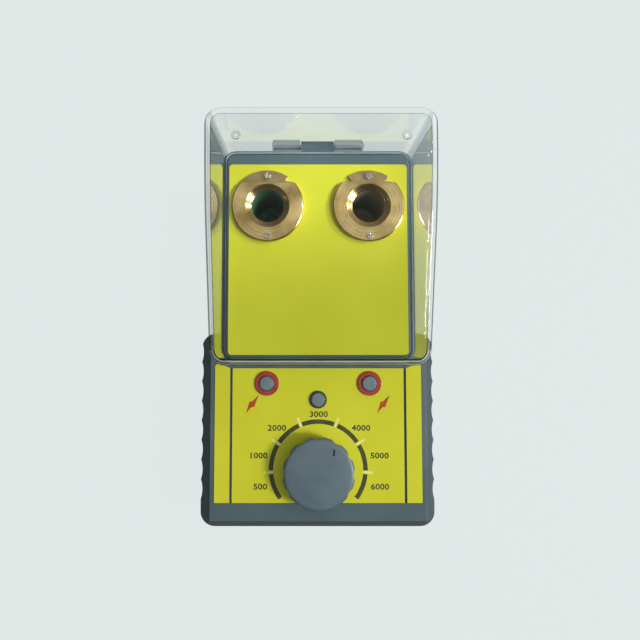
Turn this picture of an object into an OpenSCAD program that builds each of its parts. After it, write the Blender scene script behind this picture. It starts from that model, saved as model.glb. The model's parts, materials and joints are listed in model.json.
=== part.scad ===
// Spark plug tester lying on its back: +Z out of the control face, +Y towards the cover's hinge.
// The origin is on the table, under the middle of the object's box.

/* [Case] */
// Height of the socket deck above the table
deck_z = 50; // [47:0.5:60]
// Height of the socket deck above the control face
deck_rise = 6; // [4:0.5:8]
// Width of the socket deck
deck_w = 79.6; // [76:0.2:90]
// Length of the socket deck
deck_len = 88.8; // [84:0.2:100]
// Plan corner radius of the socket deck
deck_r = 3.6; // [2:0.2:6]
// Bevel round the top of the socket deck
deck_bevel = 0.6; // [0.3:0.1:1.2]
// Distance from the front of the cover to the front end of the case
control_len = 73.8; // [70:0.2:90]
// Wall thickness of both shells
wall = 2.4; // [1.8:0.1:3]
// Thickness of the socket deck and of the control face
top_t = 2.6; // [2:0.1:3.2]
// Thickness of the floor
floor_t = 2.5; // [2:0.1:3.5]
// Gap under the floor, left by the feet
foot_gap = 1.5; // [1:0.1:3]
// Height of the parting line between the shells
part_z = 19.5; // [18:0.5:26]
// Width that the case shows outside the cover's foot
ledge_lip = 0.6; // [0.4:0.1:1.5]

/* [Grip section] */
// Width at the waist
grip_w = 105.6; // [100:0.2:120]
// How far the grip section reaches behind the cover's front
grip_reach = 12.8; // [8:0.2:26]
// Plan corner radius at the waist
grip_r = 6.5; // [6.5:0.5:12]
// How far each side leans in from the waist to the edge of the control face
grip_lean = 5.2; // [3:0.2:5.6]
// Depth of the waist below the control face
waist_drop = 14; // [10:0.5:18]
// Width of the bevel round the control face
face_bevel_w = 0.8; // [0.4:0.1:1]
// Height of the bevel round the control face
face_bevel_h = 1; // [0.5:0.1:2]
// How far each side of the bottom shell leans in
keel_lean = 1.5; // [0.5:0.1:3]
// Bevel round the floor
keel_bevel = 2.5; // [1:0.1:3]
// Scallops along each side
scallops = 8; // [4:1:10]
// Length of one scallop
scallop_pitch = 8.8; // [6:0.1:9]
// Depth of a scallop at the waist
scallop_depth = 0.7; // [0.3:0.1:1]
// Distance from the front end of the case to the first scallop
scallop_start = 12; // [10:0.5:14]

/* [Cover] */
// Wall thickness of the clear cover
cover_wall = 2; // [1.6:0.1:2.6]
// Clearance between the socket deck and the cover
cover_gap = 0.4; // [0.3:0.1:1]
// Clearance between the ledge and the cover's rim
rim_gap = 0.3; // [0.2:0.1:0.6]
// Height of the cover above the socket deck at the rear
cover_rear_h = 55; // [50:0.5:70]
// Height of the cover above the socket deck at the front
cover_front_h = 35.5; // [32:0.5:48]
// Distance from the rear of the cover to where the level and the sloping lid would meet
lid_level = 27; // [24:1:40]
// Radius of the bend between the level and the sloping lid
lid_bend_r = 130; // [100:5:150]
// Edge radius of the lid
lid_r = 5; // [3:0.5:7]
// Plan corner radius of the cover
cover_r = 6; // [4:0.5:9]
// Diameter of the two moulded discs on the cover's lid
disc_d = 3.2; // [2:0.2:5]
// Height of the moulded discs
disc_h = 0.3; // [0.2:0.1:0.8]
// Distance of each moulded disc from the middle
disc_x = 30.3; // [25:0.1:34]
// Distance of the moulded discs from the rear of the cover
disc_back = 11.5; // [8:0.5:14]

/* [Hinge] */
// Gap between the rear wall of the case and the knuckles
hinge_gap = 0.6; // [0.4:0.1:2]
// Depth of the hinge axis below the ledge
hinge_drop = 5.8; // [5:0.1:9]
// Outer diameter of the knuckles
knuckle_d = 5.6; // [5:0.1:6.5]
// Diameter of the hinge pin
pin_d = 2.5; // [2:0.1:3]
// Half length of the middle knuckle
knuckle_mid = 7.4; // [5:0.1:12]
// Half length of the whole hinge
hinge_half = 20.1; // [16:0.1:30]
// Side clearance between knuckles
knuckle_gap = 0.4; // [0.3:0.1:0.8]
// Height of the cover's hinge webs above the ledge
web_rise = 8; // [4:0.5:12]

/* [Sockets] */
// Distance of each socket from the middle
socket_x = 21.9; // [18:0.1:23]
// Distance of the sockets from the rear edge of the deck
socket_back = 23.4; // [20:0.1:30]
// Bore for the plug's insulator
socket_bore = 14; // [12:0.1:15]
// Outer diameter of the insulating tube
tube_d = 20; // [18:0.1:22]
// Width of the tube's flange under the deck
tube_flange_w = 1.8; // [1:0.1:2]
// Thickness of the tube's flange
tube_flange_t = 2; // [1.5:0.1:4]
// Outer diameter of the brass ring
ring_d = 31.2; // [30.6:0.1:34]
// Thickness of the brass ring
ring_t = 2.5; // [2:0.1:4]
// Width of the ring's countersunk mouth
mouth_w = 2.5; // [1:0.1:3.2]
// Height of the ring's straight bore under the countersunk mouth
ring_land = 0.7; // [0.3:0.1:1.5]
// Bevel round the ring
ring_bevel = 0.5; // [0.3:0.1:0.8]
// Distance of the milled flat from the ring's centre
flat_y = 10; // [9.8:0.1:11]
// How far the milled flat lies below the ring's face
flat_drop = 1; // [0.5:0.1:1.2]
// Half width of the tongue between the notches beside the milled flat
tongue_half = 7.4; // [6:0.1:8]
// How far the tongue widens towards the ring's edge
tongue_flare = 3.6; // [2:0.1:5]
// Distance of the ring screws from the ring's centre
ring_screw_y = 13.1; // [12.9:0.1:13.4]
// Height of the terminal's boss inside the tube
terminal_boss = 2; // [1:0.1:3]
// Free length of the contact spring
spring_len = 10; // [9:0.5:14]
// Mean diameter of the contact spring
spring_d = 8; // [6:0.2:10]
// Wire diameter of the contact spring
spring_wire = 1; // [0.7:0.1:1.2]
// Turns of the contact spring
spring_turns = 5; // [4:1:6]

/* [Labels] */
// Thickness of the labels
label_t = 0.4; // [0.3:0.1:0.6]
// Margin of case round the socket label at the sides and front
socket_label_margin = 1.05; // [0.8:0.05:2]
// Margin of case behind the socket label
socket_label_rear = 4.8; // [3:0.1:6]
// Corner radius of the socket label
socket_label_r = 1.5; // [0.5:0.1:2]
// Distance of the dark lines from the middle
line_x = 37.8; // [35:0.1:39]
// Width of the dark lines
line_w = 1.1; // [0.6:0.1:1.4]
// Depth of the dark lines
line_depth = 0.6; // [0.3:0.1:1]
// Margin of control face outside the side labels
side_label_margin = 1.9; // [1:0.1:4]
// Gap between the cover's front and the control label
control_label_gap = 2.5; // [1.5:0.1:4]
// Length of the control label
control_label_len = 57.6; // [56:0.1:63]
// How far the side labels reach back beyond the control label
horn_len = 1.9; // [1:0.1:2.2]

/* [Controls] */
// Distance of the firing buttons from the middle
hv_x = 22.3; // [20:0.1:24]
// Distance of the firing buttons from the cover's front
hv_y = 9; // [8.6:0.1:10]
// Distance of the power button from the cover's front
power_y = 16; // [15:0.1:18]
// Distance of the knob from the cover's front
dial_y = 45.9; // [44:0.1:48]
// Width of the red bezels outside their sleeves
hv_rim = 1.55; // [1:0.05:2]
// Diameter of the firing buttons
hv_cap_d = 5.8; // [5:0.1:6.4]
// Width of the power button's bezel outside its sleeve
power_rim = 0.4; // [0.3:0.05:1]
// Diameter of the power button
power_cap_d = 5.5; // [5:0.1:6]
// Height of the bezels above the labels
bezel_h = 1; // [0.6:0.1:1.5]
// Wall of the bezels' sleeves
bezel_wall = 0.5; // [0.4:0.1:0.8]
// Height of the pressed buttons above their bezels
cap_rest = 0.1; // [0.1:0.1:1]
// Travel of the buttons
press_travel = 1.2; // [0.6:0.1:1.2]
// Clearance round a moving button
press_gap = 0.3; // [0.25:0.05:0.5]
// Diameter of the knob at its widest, under the edge of its top
knob_d = 30.4; // [28:0.2:34]
// Height of the knob
knob_h = 12.4; // [11:0.1:15]
// Gap under the knob
knob_gap = 0.6; // [0.4:0.1:1.5]
// How far the knob's side leans in from the edge down to the foot
knob_undercut = 1.3; // [0.4:0.1:1.8]
// Edge radius of the knob's top
knob_edge_r = 2.2; // [1:0.1:3]
// Crown of the knob's top
knob_crown = 0.9; // [0.3:0.1:1.5]
// Thickness of the knob's side
knob_wall = 4; // [3:0.1:4.5]
// Flutes round the knob
knob_flutes = 12; // [10:1:16]
// Radius of a flute
flute_r = 3; // [2:0.1:3.6]
// Depth of a flute
flute_depth = 0.8; // [0.4:0.1:1.2]
// Turn of the flutes from the knob's mark
flute_turn = 4; // [0:1:35]
// Angle of the knob's mark, clockwise from the rear
knob_mark_deg = 34.5; // [-126:0.5:126]
// Slant of the knob's mark from the radius
mark_slant = 30; // [0:1:45]
// Length of the knob's mark
mark_len = 2.6; // [2:0.1:5]
// Width of the knob's mark
mark_w = 0.8; // [0.5:0.1:1.2]
// Diameter of the potentiometer's shaft
shaft_d = 6; // [5:0.1:6.4]
// Wall of the potentiometer's bush
pot_bush_wall = 0.5; // [0.4:0.1:1]
// Diameter of the potentiometer
pot_d = 24; // [18:0.5:28]
// Height of the potentiometer
pot_h = 8.5; // [7:0.5:10]
// Radial clearance of a shaft, pin or plunger that moves in its hole
running_fit = 0.05; // [0.02:0.01:0.1]
// Radial clearance of pieces fixed in a hole
fixed_fit = 0.05; // [0.02:0.01:0.2]

/* [Inside] */
// Depth of the control board below the control face
board_drop = 15; // [14:0.5:17]
// Thickness of the control board
board_t = 1.6; // [1:0.1:2]
// Length of the control board
board_len = 60; // [59:0.5:62]
// Gap between the cover's front and the control board, seen from above
board_back = 3.5; // [2:0.1:4.5]
// Inset of the board posts from the board's edges
post_inset = 3.5; // [3:0.1:4]
// Diameter of the board posts
post_d = 6; // [5:0.1:6.5]
// Side of a push switch
switch_w = 8; // [6:0.1:9]
// Height of a push switch's body
switch_h = 5; // [4:0.1:6]
// Diameter of a push switch's plunger
plunger_d = 3.4; // [2.5:0.1:4]
// Width of the coil block
coil_w = 52; // [44:0.5:60]
// Length of the coil block
coil_len = 34; // [28:0.5:36]
// Height of the coil block
coil_h = 20; // [14:0.5:21]
// Distance of the leads' outlets from the middle
outlet_x = 14; // [10:0.5:18]
// Diameter of the high voltage leads
lead_d = 3.6; // [3:0.1:4]
// Diameter of the case posts
case_post_d = 8; // [7:0.1:9]
// Depth of the screw heads inside the bottom shell
screw_recess = 4.5; // [3:0.1:6]
// Length of the case screws under the head
case_screw_len = 25; // [22:0.5:28]
// Diameter of the rubber feet
foot_d = 12; // [8:0.5:14]
// Depth of the recess for each foot
foot_recess = 0.5; // [0.3:0.1:1]
// Bore of the cord bush
cord_bore = 6.2; // [5:0.1:7]
// Distance of the cord bush from the middle
cord_x = 22; // [16:0.5:26]
// Height of the cord bush above the floor
cord_rise = 9; // [8:0.5:11]

/* [Hidden] */
$fn = 48;

case_grey = [0.27, 0.35, 0.36];
knob_grey = [0.37, 0.44, 0.47];
label_yellow = [0.80, 0.78, 0.16];
brass = [0.76, 0.62, 0.36];
steel = [0.72, 0.73, 0.75];
dark = [0.12, 0.13, 0.13];
red = [0.68, 0.16, 0.14];
board_green = [0.10, 0.32, 0.20];
clear = [0.85, 0.92, 0.94, 0.35];

// Overlap that makes one piece's shapes join, and the length by which a cut runs clear of a face
join = 0.1;
over = 1;
// Least radius of an inner corner
least_r = 0.5;
// Sides of a large turned form when it is drawn
fine_sides = 96;

// Levels
face_z = deck_z - deck_rise;
waist_z = face_z - waist_drop;
floor_top = foot_gap + floor_t;
deck_under = deck_z - top_t;
face_under = face_z - top_t;
face_print = face_z + label_t;
deck_print = deck_z + label_t;
board_top = face_z - board_drop;
board_under = board_top - board_t;
lid_z = deck_z + cover_rear_h;
front_lid_z = deck_z + cover_front_h;
rim_z = face_z + rim_gap;
hinge_z = face_z - hinge_drop;

// Places along Y, with the whole length centred
cover_margin = cover_gap + cover_wall;
cover_w = deck_w + 2 * cover_margin;
cover_len = deck_len + 2 * cover_margin;
whole_len = control_len + cover_len + ledge_lip + hinge_gap + knuckle_d;
front_y = -whole_len / 2;
cover_front = front_y + control_len;
cover_rear = cover_front + cover_len;
cover_mid = (cover_front + cover_rear) / 2;
deck_front = cover_front + cover_margin;
deck_rear = cover_rear - cover_margin;
deck_mid = (deck_front + deck_rear) / 2;
grip_len = control_len + grip_reach;
grip_mid = front_y + grip_len / 2;
block_w = cover_w + 2 * ledge_lip;
block_rear = cover_rear + ledge_lip;
block_r = cover_r + ledge_lip;
block_front = grip_mid;
block_len = block_rear - block_front;
block_mid = (block_rear + block_front) / 2;
hinge_y = block_rear + hinge_gap + knuckle_d / 2;
socket_y = deck_rear - socket_back;
hv_left_at = [-hv_x, cover_front - hv_y];
hv_right_at = [hv_x, cover_front - hv_y];
power_at = [0, cover_front - power_y];
dial_at = [0, cover_front - dial_y];

// Lid: level behind the bend, sloping before it
crease_y = cover_rear - lid_level;
lid_slope = atan((lid_z - front_lid_z) / (crease_y - cover_front));
bend_y = crease_y + lid_bend_r * tan(lid_slope / 2);
lid_depth = lid_z - rim_z + 2 * over;

// Labels
control_rear = cover_front - control_label_gap;
control_front = control_rear - control_label_len;
side_label_x = grip_w / 2 - grip_lean - face_bevel_w - side_label_margin;

// Screws: self-cutting, each hole follows its screw
ring_screw_d = 2;
ring_screw_head_d = 2.9;
ring_screw_head_h = 1;
ring_screw_spare = 0.3;
ring_screw_len = ring_t + label_t + top_t - ring_screw_spare;
board_screw_d = 2.4;
board_screw_head_d = 4.6;
board_screw_head_h = 1.6;
board_screw_len = 8;
case_screw_d = 2.8;
case_screw_head_d = 5.4;
case_screw_head_h = 2;
coil_screw_d = 2.8;
coil_screw_head_d = 5.2;
coil_screw_head_h = 1.8;
coil_screw_len = 7;
screw_slot_w = 0.6;
screw_slot_depth = 0.5;
head_room = 0.4;
head_seat = foot_gap + screw_recess;

// Case posts stand in the corners, clear of the sockets and of the board
rear_post_side = 2;
rear_post_back = 3;
rear_post = [block_w / 2 - wall - case_post_d / 2 - rear_post_side,
  block_rear - wall - case_post_d / 2 - rear_post_back];
front_post = [grip_w / 2 - wall - grip_lean - case_post_d / 2, front_y + wall + grip_lean + case_post_d / 2];

// Feet, behind the front posts and outside the sockets
foot_in = 2;
foot_out = 10;
foot_back = 4;
foot_front = [front_post[0] - foot_in, front_post[1] + foot_d + foot_in];
foot_rear = [socket_x + foot_out, socket_y + foot_back];

// Control board, between the front posts
board_gap = 0.3;
board_w = 2 * (front_post[0] - case_post_d / 2 - board_gap);
board_rear = cover_front - board_back;
board_mid = board_rear - board_len / 2;
board_posts = [for (sx = [-1, 1], sy = [-1, 1])
  [sx * (board_w / 2 - post_inset), board_mid + sy * (board_len / 2 - post_inset)]];

// Push switches
plunger_proud = 2;
switch_floor = 1;
switch_top = board_top + switch_h + plunger_proud;
well_floor = board_top + switch_floor;
button_crown = 0.4;
button_flange_w = 0.8;
button_flange_t = 1.2;

// Potentiometer and knob
pot_bush_d = shaft_d + 2 * pot_bush_wall;
pot_top = board_top + pot_h;
shaft_sink = 3;
shaft_room = 0.5;
nut_t = 2;
nut_wall = 2.25;
nut_d = pot_bush_d + 2 * nut_wall;
thread_proud = 0.4;
bush_top = face_print + nut_t + thread_proud;
knob_z = face_print + knob_gap;
knob_roof = 4;
knob_foot_r = knob_d / 2 - knob_undercut;
knob_edge_z = knob_h - knob_crown - knob_edge_r;
hub_wall = 2;
shaft_top = knob_z + knob_h - knob_roof;
mark_in = 2.8;
mark_depth = 0.5;

// Coil block
coil_gap = 2.5;
coil_mid = board_rear + coil_gap + coil_len / 2;
coil_rear = coil_mid + coil_len / 2;
coil_r = 3;
ear_w = 9;
ear_t = 3;
ear_post_h = 4;
ear_x = coil_w / 2 + ear_w / 2;
outlet_d = 8;
outlet_len = 4;
outlet_rise = 1;
outlet_z = floor_top + outlet_d / 2 + outlet_rise;

// Socket feet: the terminal's stud is level with the lead, which lies clear of the floor
lead_gap = 0.2;
stud_d = 2;
stud_z = floor_top + lead_gap + lead_d / 2;
tube_z = stud_z + stud_d / 2;
spring_z = tube_z + terminal_boss;
chamber_step = 0.6;
chamber_d = socket_bore + 2 * chamber_step;
chamber_room = 1;
chamber_top = spring_z + spring_len + chamber_room;
cup_wall = 1.8;
cup_gap = 0.3;
cup_h = 6;
stud_proud = 3;
stud_end = socket_y - tube_d / 2 - cup_wall - stud_proud;

// Cord bush
bush_lip = 1.5;
bush_wall = 1.1;
bush_flange_w = 1.6;
bush_neck = cord_bore + 2 * bush_wall;
cord_z = floor_top + cord_rise;

// Shapes that repeat
module mirrored_pair() {
  children();
  mirror([1, 0, 0]) children();
}

module rounded_rect(w, l, r) {
  square([w - 2 * r, l], center = true);
  square([w, l - 2 * r], center = true);
  for (sx = [-1, 1], sy = [-1, 1])
    translate([sx * (w / 2 - r), sy * (l / 2 - r)]) circle(r);
}

module rounded_block(w, l, r, h) {
  linear_extrude(h) rounded_rect(w, l, r);
}

// A block with round corners that leans in by lean on all four sides
module leaning_block(w, l, r, h, lean) {
  rotate([90, 0, 0]) linear_extrude(l - 2 * r, center = true) leaning_side(w, h, lean);
  rotate([90, 0, 90]) linear_extrude(w - 2 * r, center = true) leaning_side(l, h, lean);
  for (sx = [-1, 1], sy = [-1, 1])
    translate([sx * (w / 2 - r), sy * (l / 2 - r), 0]) cylinder(h = h, r1 = r, r2 = r - lean);
}

module leaning_side(w, h, lean) {
  polygon([[-w / 2, 0], [w / 2, 0], [w / 2 - lean, h], [lean - w / 2, h]]);
}

module slotted_screw(d, head_d, head_h, len) {
  difference() {
    union() {
      cylinder(h = head_h, d = head_d);
      translate([0, 0, -len]) cylinder(h = len + join, d = d);
    }
    translate([-head_d, -screw_slot_w / 2, head_h - screw_slot_depth])
      cube([2 * head_d, screw_slot_w, screw_slot_depth + over]);
  }
}

module at_case_posts() mirrored_pair() {
  translate(rear_post) children();
  translate(front_post) children();
}

module at_feet() mirrored_pair() {
  translate(foot_rear) children();
  translate(foot_front) children();
}

module at_board_posts() for (p = board_posts) translate(p) children();

module at_sockets() mirrored_pair() translate([socket_x, socket_y]) children();

// Holes under the brass rings: the tube's and the ring screws'
module socket_holes(z, h) at_sockets() translate([0, 0, z]) {
  cylinder(h = h, d = tube_d + 2 * fixed_fit);
  for (sy = [-1, 1]) translate([0, sy * ring_screw_y]) cylinder(h = h, d = ring_screw_d + 2 * fixed_fit);
}

function sleeve_d(cap_d) = cap_d + 2 * (press_gap + bezel_wall);

// Holes for the bezels' sleeves and the potentiometer's bush
module control_holes(z, h) translate([0, 0, z]) {
  for (p = [hv_left_at, hv_right_at]) translate(p) cylinder(h = h, d = sleeve_d(hv_cap_d) + 2 * fixed_fit);
  translate(power_at) cylinder(h = h, d = sleeve_d(power_cap_d) + 2 * fixed_fit);
  translate(dial_at) cylinder(h = h, d = pot_bush_d + 2 * fixed_fit);
}

// Scallops along both sides: one cut leans with the side above the waist, one runs down below it
module grip_scallops() {
  r = (pow(scallop_pitch / 2, 2) + pow(scallop_depth, 2)) / (2 * scallop_depth);
  rise = waist_drop - face_bevel_h;
  tilt = atan((grip_lean - scallop_depth) / rise);
  for (i = [0 : scallops - 1], side = [-1, 1])
    translate([side * grip_w / 2, front_y + scallop_start + (i + 0.5) * scallop_pitch, waist_z]) {
      rotate([0, -side * tilt, 0]) translate([side * (r - scallop_depth), 0, 0])
        cylinder(h = rise / cos(tilt), r = r, $fn = fine_sides);
      translate([side * (r - scallop_depth), 0, -waist_z]) cylinder(h = waist_z, r = r, $fn = fine_sides);
    }
}

module bottom_outer() {
  keel_w = grip_w - 2 * keel_lean;
  keel_len = grip_len - 2 * keel_lean;
  keel_r = grip_r - keel_lean;
  translate([0, grip_mid, floor_top])
    leaning_block(keel_w, keel_len, keel_r, part_z - floor_top, -keel_lean);
  translate([0, grip_mid, foot_gap])
    leaning_block(keel_w - 2 * keel_bevel, keel_len - 2 * keel_bevel, keel_r - keel_bevel,
      floor_t, -keel_bevel);
  translate([0, block_mid, floor_top]) rounded_block(block_w, block_len, block_r, part_z - floor_top);
  translate([0, block_mid, foot_gap])
    leaning_block(block_w - 2 * keel_bevel, block_len - 2 * keel_bevel, block_r - keel_bevel,
      floor_t, -keel_bevel);
}

module bottom_hollow() {
  inset = wall + keel_lean;
  h = part_z - floor_top + over;
  translate([0, grip_mid, floor_top])
    rounded_block(grip_w - 2 * inset, grip_len - 2 * inset, grip_r - inset, h);
  translate([0, block_mid, floor_top])
    rounded_block(block_w - 2 * wall, block_len - 2 * wall, block_r - wall, h);
}

module bottom_shell() color(case_grey) difference() {
  union() {
    difference() {
      bottom_outer();
      bottom_hollow();
    }
    at_case_posts() translate([0, 0, floor_top - join])
      cylinder(h = part_z - floor_top + join, d = case_post_d);
    at_sockets() translate([0, 0, floor_top - join])
      cylinder(h = cup_h + join, d = tube_d + 2 * (cup_gap + cup_wall));
    mirrored_pair() translate([ear_x, coil_mid, floor_top - join]) cylinder(h = ear_post_h + join, d = ear_w);
  }
  grip_scallops();
  at_case_posts() {
    cylinder(h = head_seat, d = case_screw_head_d + 2 * head_room);
    cylinder(h = part_z + over, d = case_screw_d + 2 * fixed_fit);
  }
  at_feet() cylinder(h = foot_gap + foot_recess, d = foot_d);
  at_sockets() translate([0, 0, floor_top]) {
    cylinder(h = cup_h + over, d = tube_d + 2 * cup_gap);
    translate([-stud_d / 2 - cup_gap, stud_end - socket_y, 0])
      cube([stud_d + 2 * cup_gap, socket_y - stud_end, cup_h + over]);
  }
  mirrored_pair() translate([ear_x, coil_mid, floor_top + ear_post_h + ear_t - coil_screw_len - head_room])
    cylinder(h = coil_screw_len + over, d = coil_screw_d + 2 * fixed_fit);
  translate([cord_x, block_rear + over, cord_z]) rotate([90, 0, 0])
    cylinder(h = wall + 2 * over, d = bush_neck + 2 * fixed_fit);
}

module top_outer() {
  translate([0, grip_mid, part_z]) rounded_block(grip_w, grip_len, grip_r, waist_z - part_z);
  translate([0, grip_mid, waist_z])
    leaning_block(grip_w, grip_len, grip_r, waist_drop - face_bevel_h, grip_lean);
  translate([0, grip_mid, face_z - face_bevel_h])
    leaning_block(grip_w - 2 * grip_lean, grip_len - 2 * grip_lean, grip_r - grip_lean,
      face_bevel_h, face_bevel_w);
  translate([0, block_mid, part_z]) rounded_block(block_w, block_len, block_r, face_z - part_z);
  translate([0, deck_mid, face_z - join])
    rounded_block(deck_w, deck_len, deck_r, deck_rise - deck_bevel + join);
  translate([0, deck_mid, deck_z - deck_bevel])
    leaning_block(deck_w, deck_len, deck_r, deck_bevel, deck_bevel);
}

module top_hollow() {
  lean = grip_lean * (waist_drop - top_t) / (waist_drop - face_bevel_h);
  translate([0, grip_mid, part_z - over])
    rounded_block(grip_w - 2 * wall, grip_len - 2 * wall, grip_r - wall, waist_z - part_z + over);
  translate([0, grip_mid, waist_z])
    leaning_block(grip_w - 2 * wall, grip_len - 2 * wall, max(grip_r - wall, lean + least_r),
      waist_drop - top_t, lean);
  translate([0, block_mid, part_z - over])
    rounded_block(block_w - 2 * wall, block_len - 2 * wall, block_r - wall, face_under - part_z + over);
  translate([0, deck_mid, face_under - over])
    rounded_block(deck_w - 2 * wall, deck_len - 2 * wall, max(deck_r - wall, least_r), deck_rise + over);
}

// Middle knuckle, on a web as thick as itself
module middle_knuckle() rotate([90, 0, 90]) linear_extrude(2 * knuckle_mid, center = true) {
  translate([hinge_y, hinge_z]) circle(d = knuckle_d);
  translate([block_rear - join, hinge_z - knuckle_d / 2]) square([hinge_y - block_rear + join, knuckle_d]);
}

module top_shell() color(case_grey) difference() {
  union() {
    difference() {
      top_outer();
      top_hollow();
    }
    mirrored_pair() {
      translate([rear_post[0], rear_post[1], part_z])
        cylinder(h = deck_under - part_z + join, d = case_post_d);
      translate([front_post[0], front_post[1], part_z])
        cylinder(h = face_under - part_z + join, d = case_post_d);
    }
    at_board_posts() translate([0, 0, board_top]) cylinder(h = face_under - board_top + join, d = post_d);
    middle_knuckle();
  }
  grip_scallops();
  at_case_posts() translate([0, 0, part_z - over])
    cylinder(h = head_seat + case_screw_len - part_z + 2 * over, d = case_screw_d + 2 * fixed_fit);
  at_board_posts() translate([0, 0, board_top - over])
    cylinder(h = board_screw_len + over, d = board_screw_d + 2 * fixed_fit);
  socket_holes(deck_under - over, top_t + 2 * over);
  control_holes(face_under - over, top_t + 2 * over);
  mirrored_pair() translate([line_x - line_w / 2, control_front, face_z - line_depth])
    cube([line_w, control_label_len, line_depth + over]);
  translate([0, hinge_y, hinge_z]) rotate([0, 90, 0])
    cylinder(h = 2 * (knuckle_mid + over), d = pin_d + 2 * fixed_fit, center = true);
}

module socket_label() color(label_yellow) difference() {
  low = deck_front + socket_label_margin;
  high = deck_rear - socket_label_rear;
  translate([0, (low + high) / 2, deck_z])
    rounded_block(deck_w - 2 * socket_label_margin, high - low, socket_label_r, label_t);
  socket_holes(deck_z - over, label_t + 2 * over);
}

module control_label() color(label_yellow) difference() {
  half = line_x - line_w / 2;
  translate([-half, control_front, face_z]) cube([2 * half, control_label_len, label_t]);
  control_holes(face_z - over, label_t + 2 * over);
}

// The side label reaches back past the cover's round corner in a slanted horn
module side_label() {
  inner = line_x + line_w / 2;
  horn_y = control_rear + horn_len;
  color(label_yellow) translate([0, 0, face_z]) linear_extrude(label_t)
    polygon([[inner, control_front], [side_label_x, control_front], [side_label_x, horn_y - horn_len / 2],
      [side_label_x - horn_len / 2, horn_y], [side_label_x - horn_len, horn_y], [inner, control_rear]]);
}

module side_label_left() mirror([1, 0, 0]) side_label();

module side_label_right() side_label();

// Brass ring with a milled flat at the rear: a notch is cut beside the flat's tongue on each side named
module plug_ring(notch_sides) {
  bore_r = socket_bore / 2;
  reach = ring_d / 2 + over;
  color(brass) difference() {
    rotate_extrude($fn = fine_sides) polygon([[bore_r, 0], [ring_d / 2, 0], [ring_d / 2, ring_t - ring_bevel],
      [ring_d / 2 - ring_bevel, ring_t], [bore_r + mouth_w, ring_t], [bore_r, ring_land]]);
    translate([-reach, flat_y, ring_t - flat_drop]) cube([2 * reach, reach, flat_drop + over]);
    for (side = notch_sides) translate([0, 0, -over]) linear_extrude(ring_t + 2 * over)
      polygon([[side * tongue_half, flat_y + over], [side * reach, flat_y - over / 2], [side * reach, reach],
        [side * (tongue_half + tongue_flare), reach - over]]);
    for (sy = [-1, 1]) translate([0, sy * ring_screw_y, -over])
      cylinder(h = ring_t + 2 * over, d = ring_screw_d + 2 * fixed_fit);
  }
}

module plug_ring_left() translate([-socket_x, socket_y, deck_print]) plug_ring([1]);

module plug_ring_right() translate([socket_x, socket_y, deck_print]) plug_ring([-1, 1]);

// Two screws a ring, turned to different angles; the rear one sits on the flat
module ring_screws() color(steel) at_sockets() translate([0, 0, deck_print + ring_t]) {
  translate([0, -ring_screw_y, 0]) rotate(30)
    slotted_screw(ring_screw_d, ring_screw_head_d, ring_screw_head_h, ring_screw_len);
  translate([0, ring_screw_y, -flat_drop]) rotate(100)
    slotted_screw(ring_screw_d, ring_screw_head_d, ring_screw_head_h, ring_screw_len - flat_drop);
}

// Insulating tube with its flange under the deck and a wider chamber for the contact at its foot
module socket_tube() color(dark) difference() {
  union() {
    translate([0, 0, tube_z]) cylinder(h = deck_print - tube_z, d = tube_d);
    translate([0, 0, deck_under - tube_flange_t])
      cylinder(h = tube_flange_t, d = tube_d + 2 * tube_flange_w);
  }
  translate([0, 0, tube_z]) cylinder(h = deck_print - tube_z + over, d = socket_bore);
  translate([0, 0, tube_z - over]) cylinder(h = chamber_top - tube_z + over, d = chamber_d);
}

module socket_tube_left() translate([-socket_x, socket_y, 0]) socket_tube();

module socket_tube_right() translate([socket_x, socket_y, 0]) socket_tube();

// Terminal under the tube, with a stud for the lead
module contact_terminal() color(brass) {
  translate([0, 0, floor_top]) cylinder(h = tube_z - floor_top, d = tube_d);
  translate([0, 0, tube_z - join]) cylinder(h = terminal_boss + join, d = chamber_d - 2 * fixed_fit);
  translate([0, stud_end - socket_y, stud_z]) rotate([-90, 0, 0])
    cylinder(h = socket_y - stud_end, d = stud_d);
}

module contact_terminal_left() translate([-socket_x, socket_y, 0]) contact_terminal();

module contact_terminal_right() translate([socket_x, socket_y, 0]) contact_terminal();

// A round tube along points: each ring stands square to the local direction
function unit(v) = v / norm(v);
function heading(points, i) = unit(points[min(i + 1, len(points) - 1)] - points[max(i - 1, 0)]);
function ring_side(dir) = abs(dir[2]) > 0.9 ? unit(cross(dir, [1, 0, 0])) : unit(cross(dir, [0, 0, 1]));
function tube_ring(points, i, r, sides) =
  let (dir = heading(points, i), u = ring_side(dir), v = cross(dir, u))
  [for (k = [0 : sides - 1]) points[i] + r * (cos(360 * k / sides) * u + sin(360 * k / sides) * v)];

module swept_tube(points, r, sides) {
  n = len(points);
  corners = [for (i = [0 : n - 1]) each tube_ring(points, i, r, sides)];
  walls = [for (i = [0 : n - 2], k = [0 : sides - 1])
    let (a = i * sides + k, b = i * sides + (k + 1) % sides)
    each [[a, b, b + sides], [a, b + sides, a + sides]]];
  ends = [for (k = [1 : sides - 2]) each
    [[0, k + 1, k], [(n - 1) * sides, (n - 1) * sides + k, (n - 1) * sides + k + 1]]];
  polyhedron(points = corners, faces = concat(walls, ends));
}

// Contact spring: a helix that stands on the terminal's boss
spring_steps = 10;
spring_sides = 6;

module contact_spring() {
  rings = spring_turns * spring_steps;
  low = spring_z + spring_wire / 2 + fixed_fit;
  rise = spring_len - spring_wire;
  color(steel) swept_tube([for (i = [0 : rings]) let (a = 360 * i / spring_steps)
    [spring_d / 2 * cos(a), spring_d / 2 * sin(a), low + rise * i / rings]], spring_wire / 2, spring_sides);
}

module contact_spring_left() translate([-socket_x, socket_y, 0]) contact_spring();

module contact_spring_right() translate([socket_x, socket_y, 0]) contact_spring();

// Section of the lid across the object, with its top at the origin and its top corners rounded.
// It is a little wider than the walls, so that each wall meets the rounding at a clear edge
lid_bite = 0.05;

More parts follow.
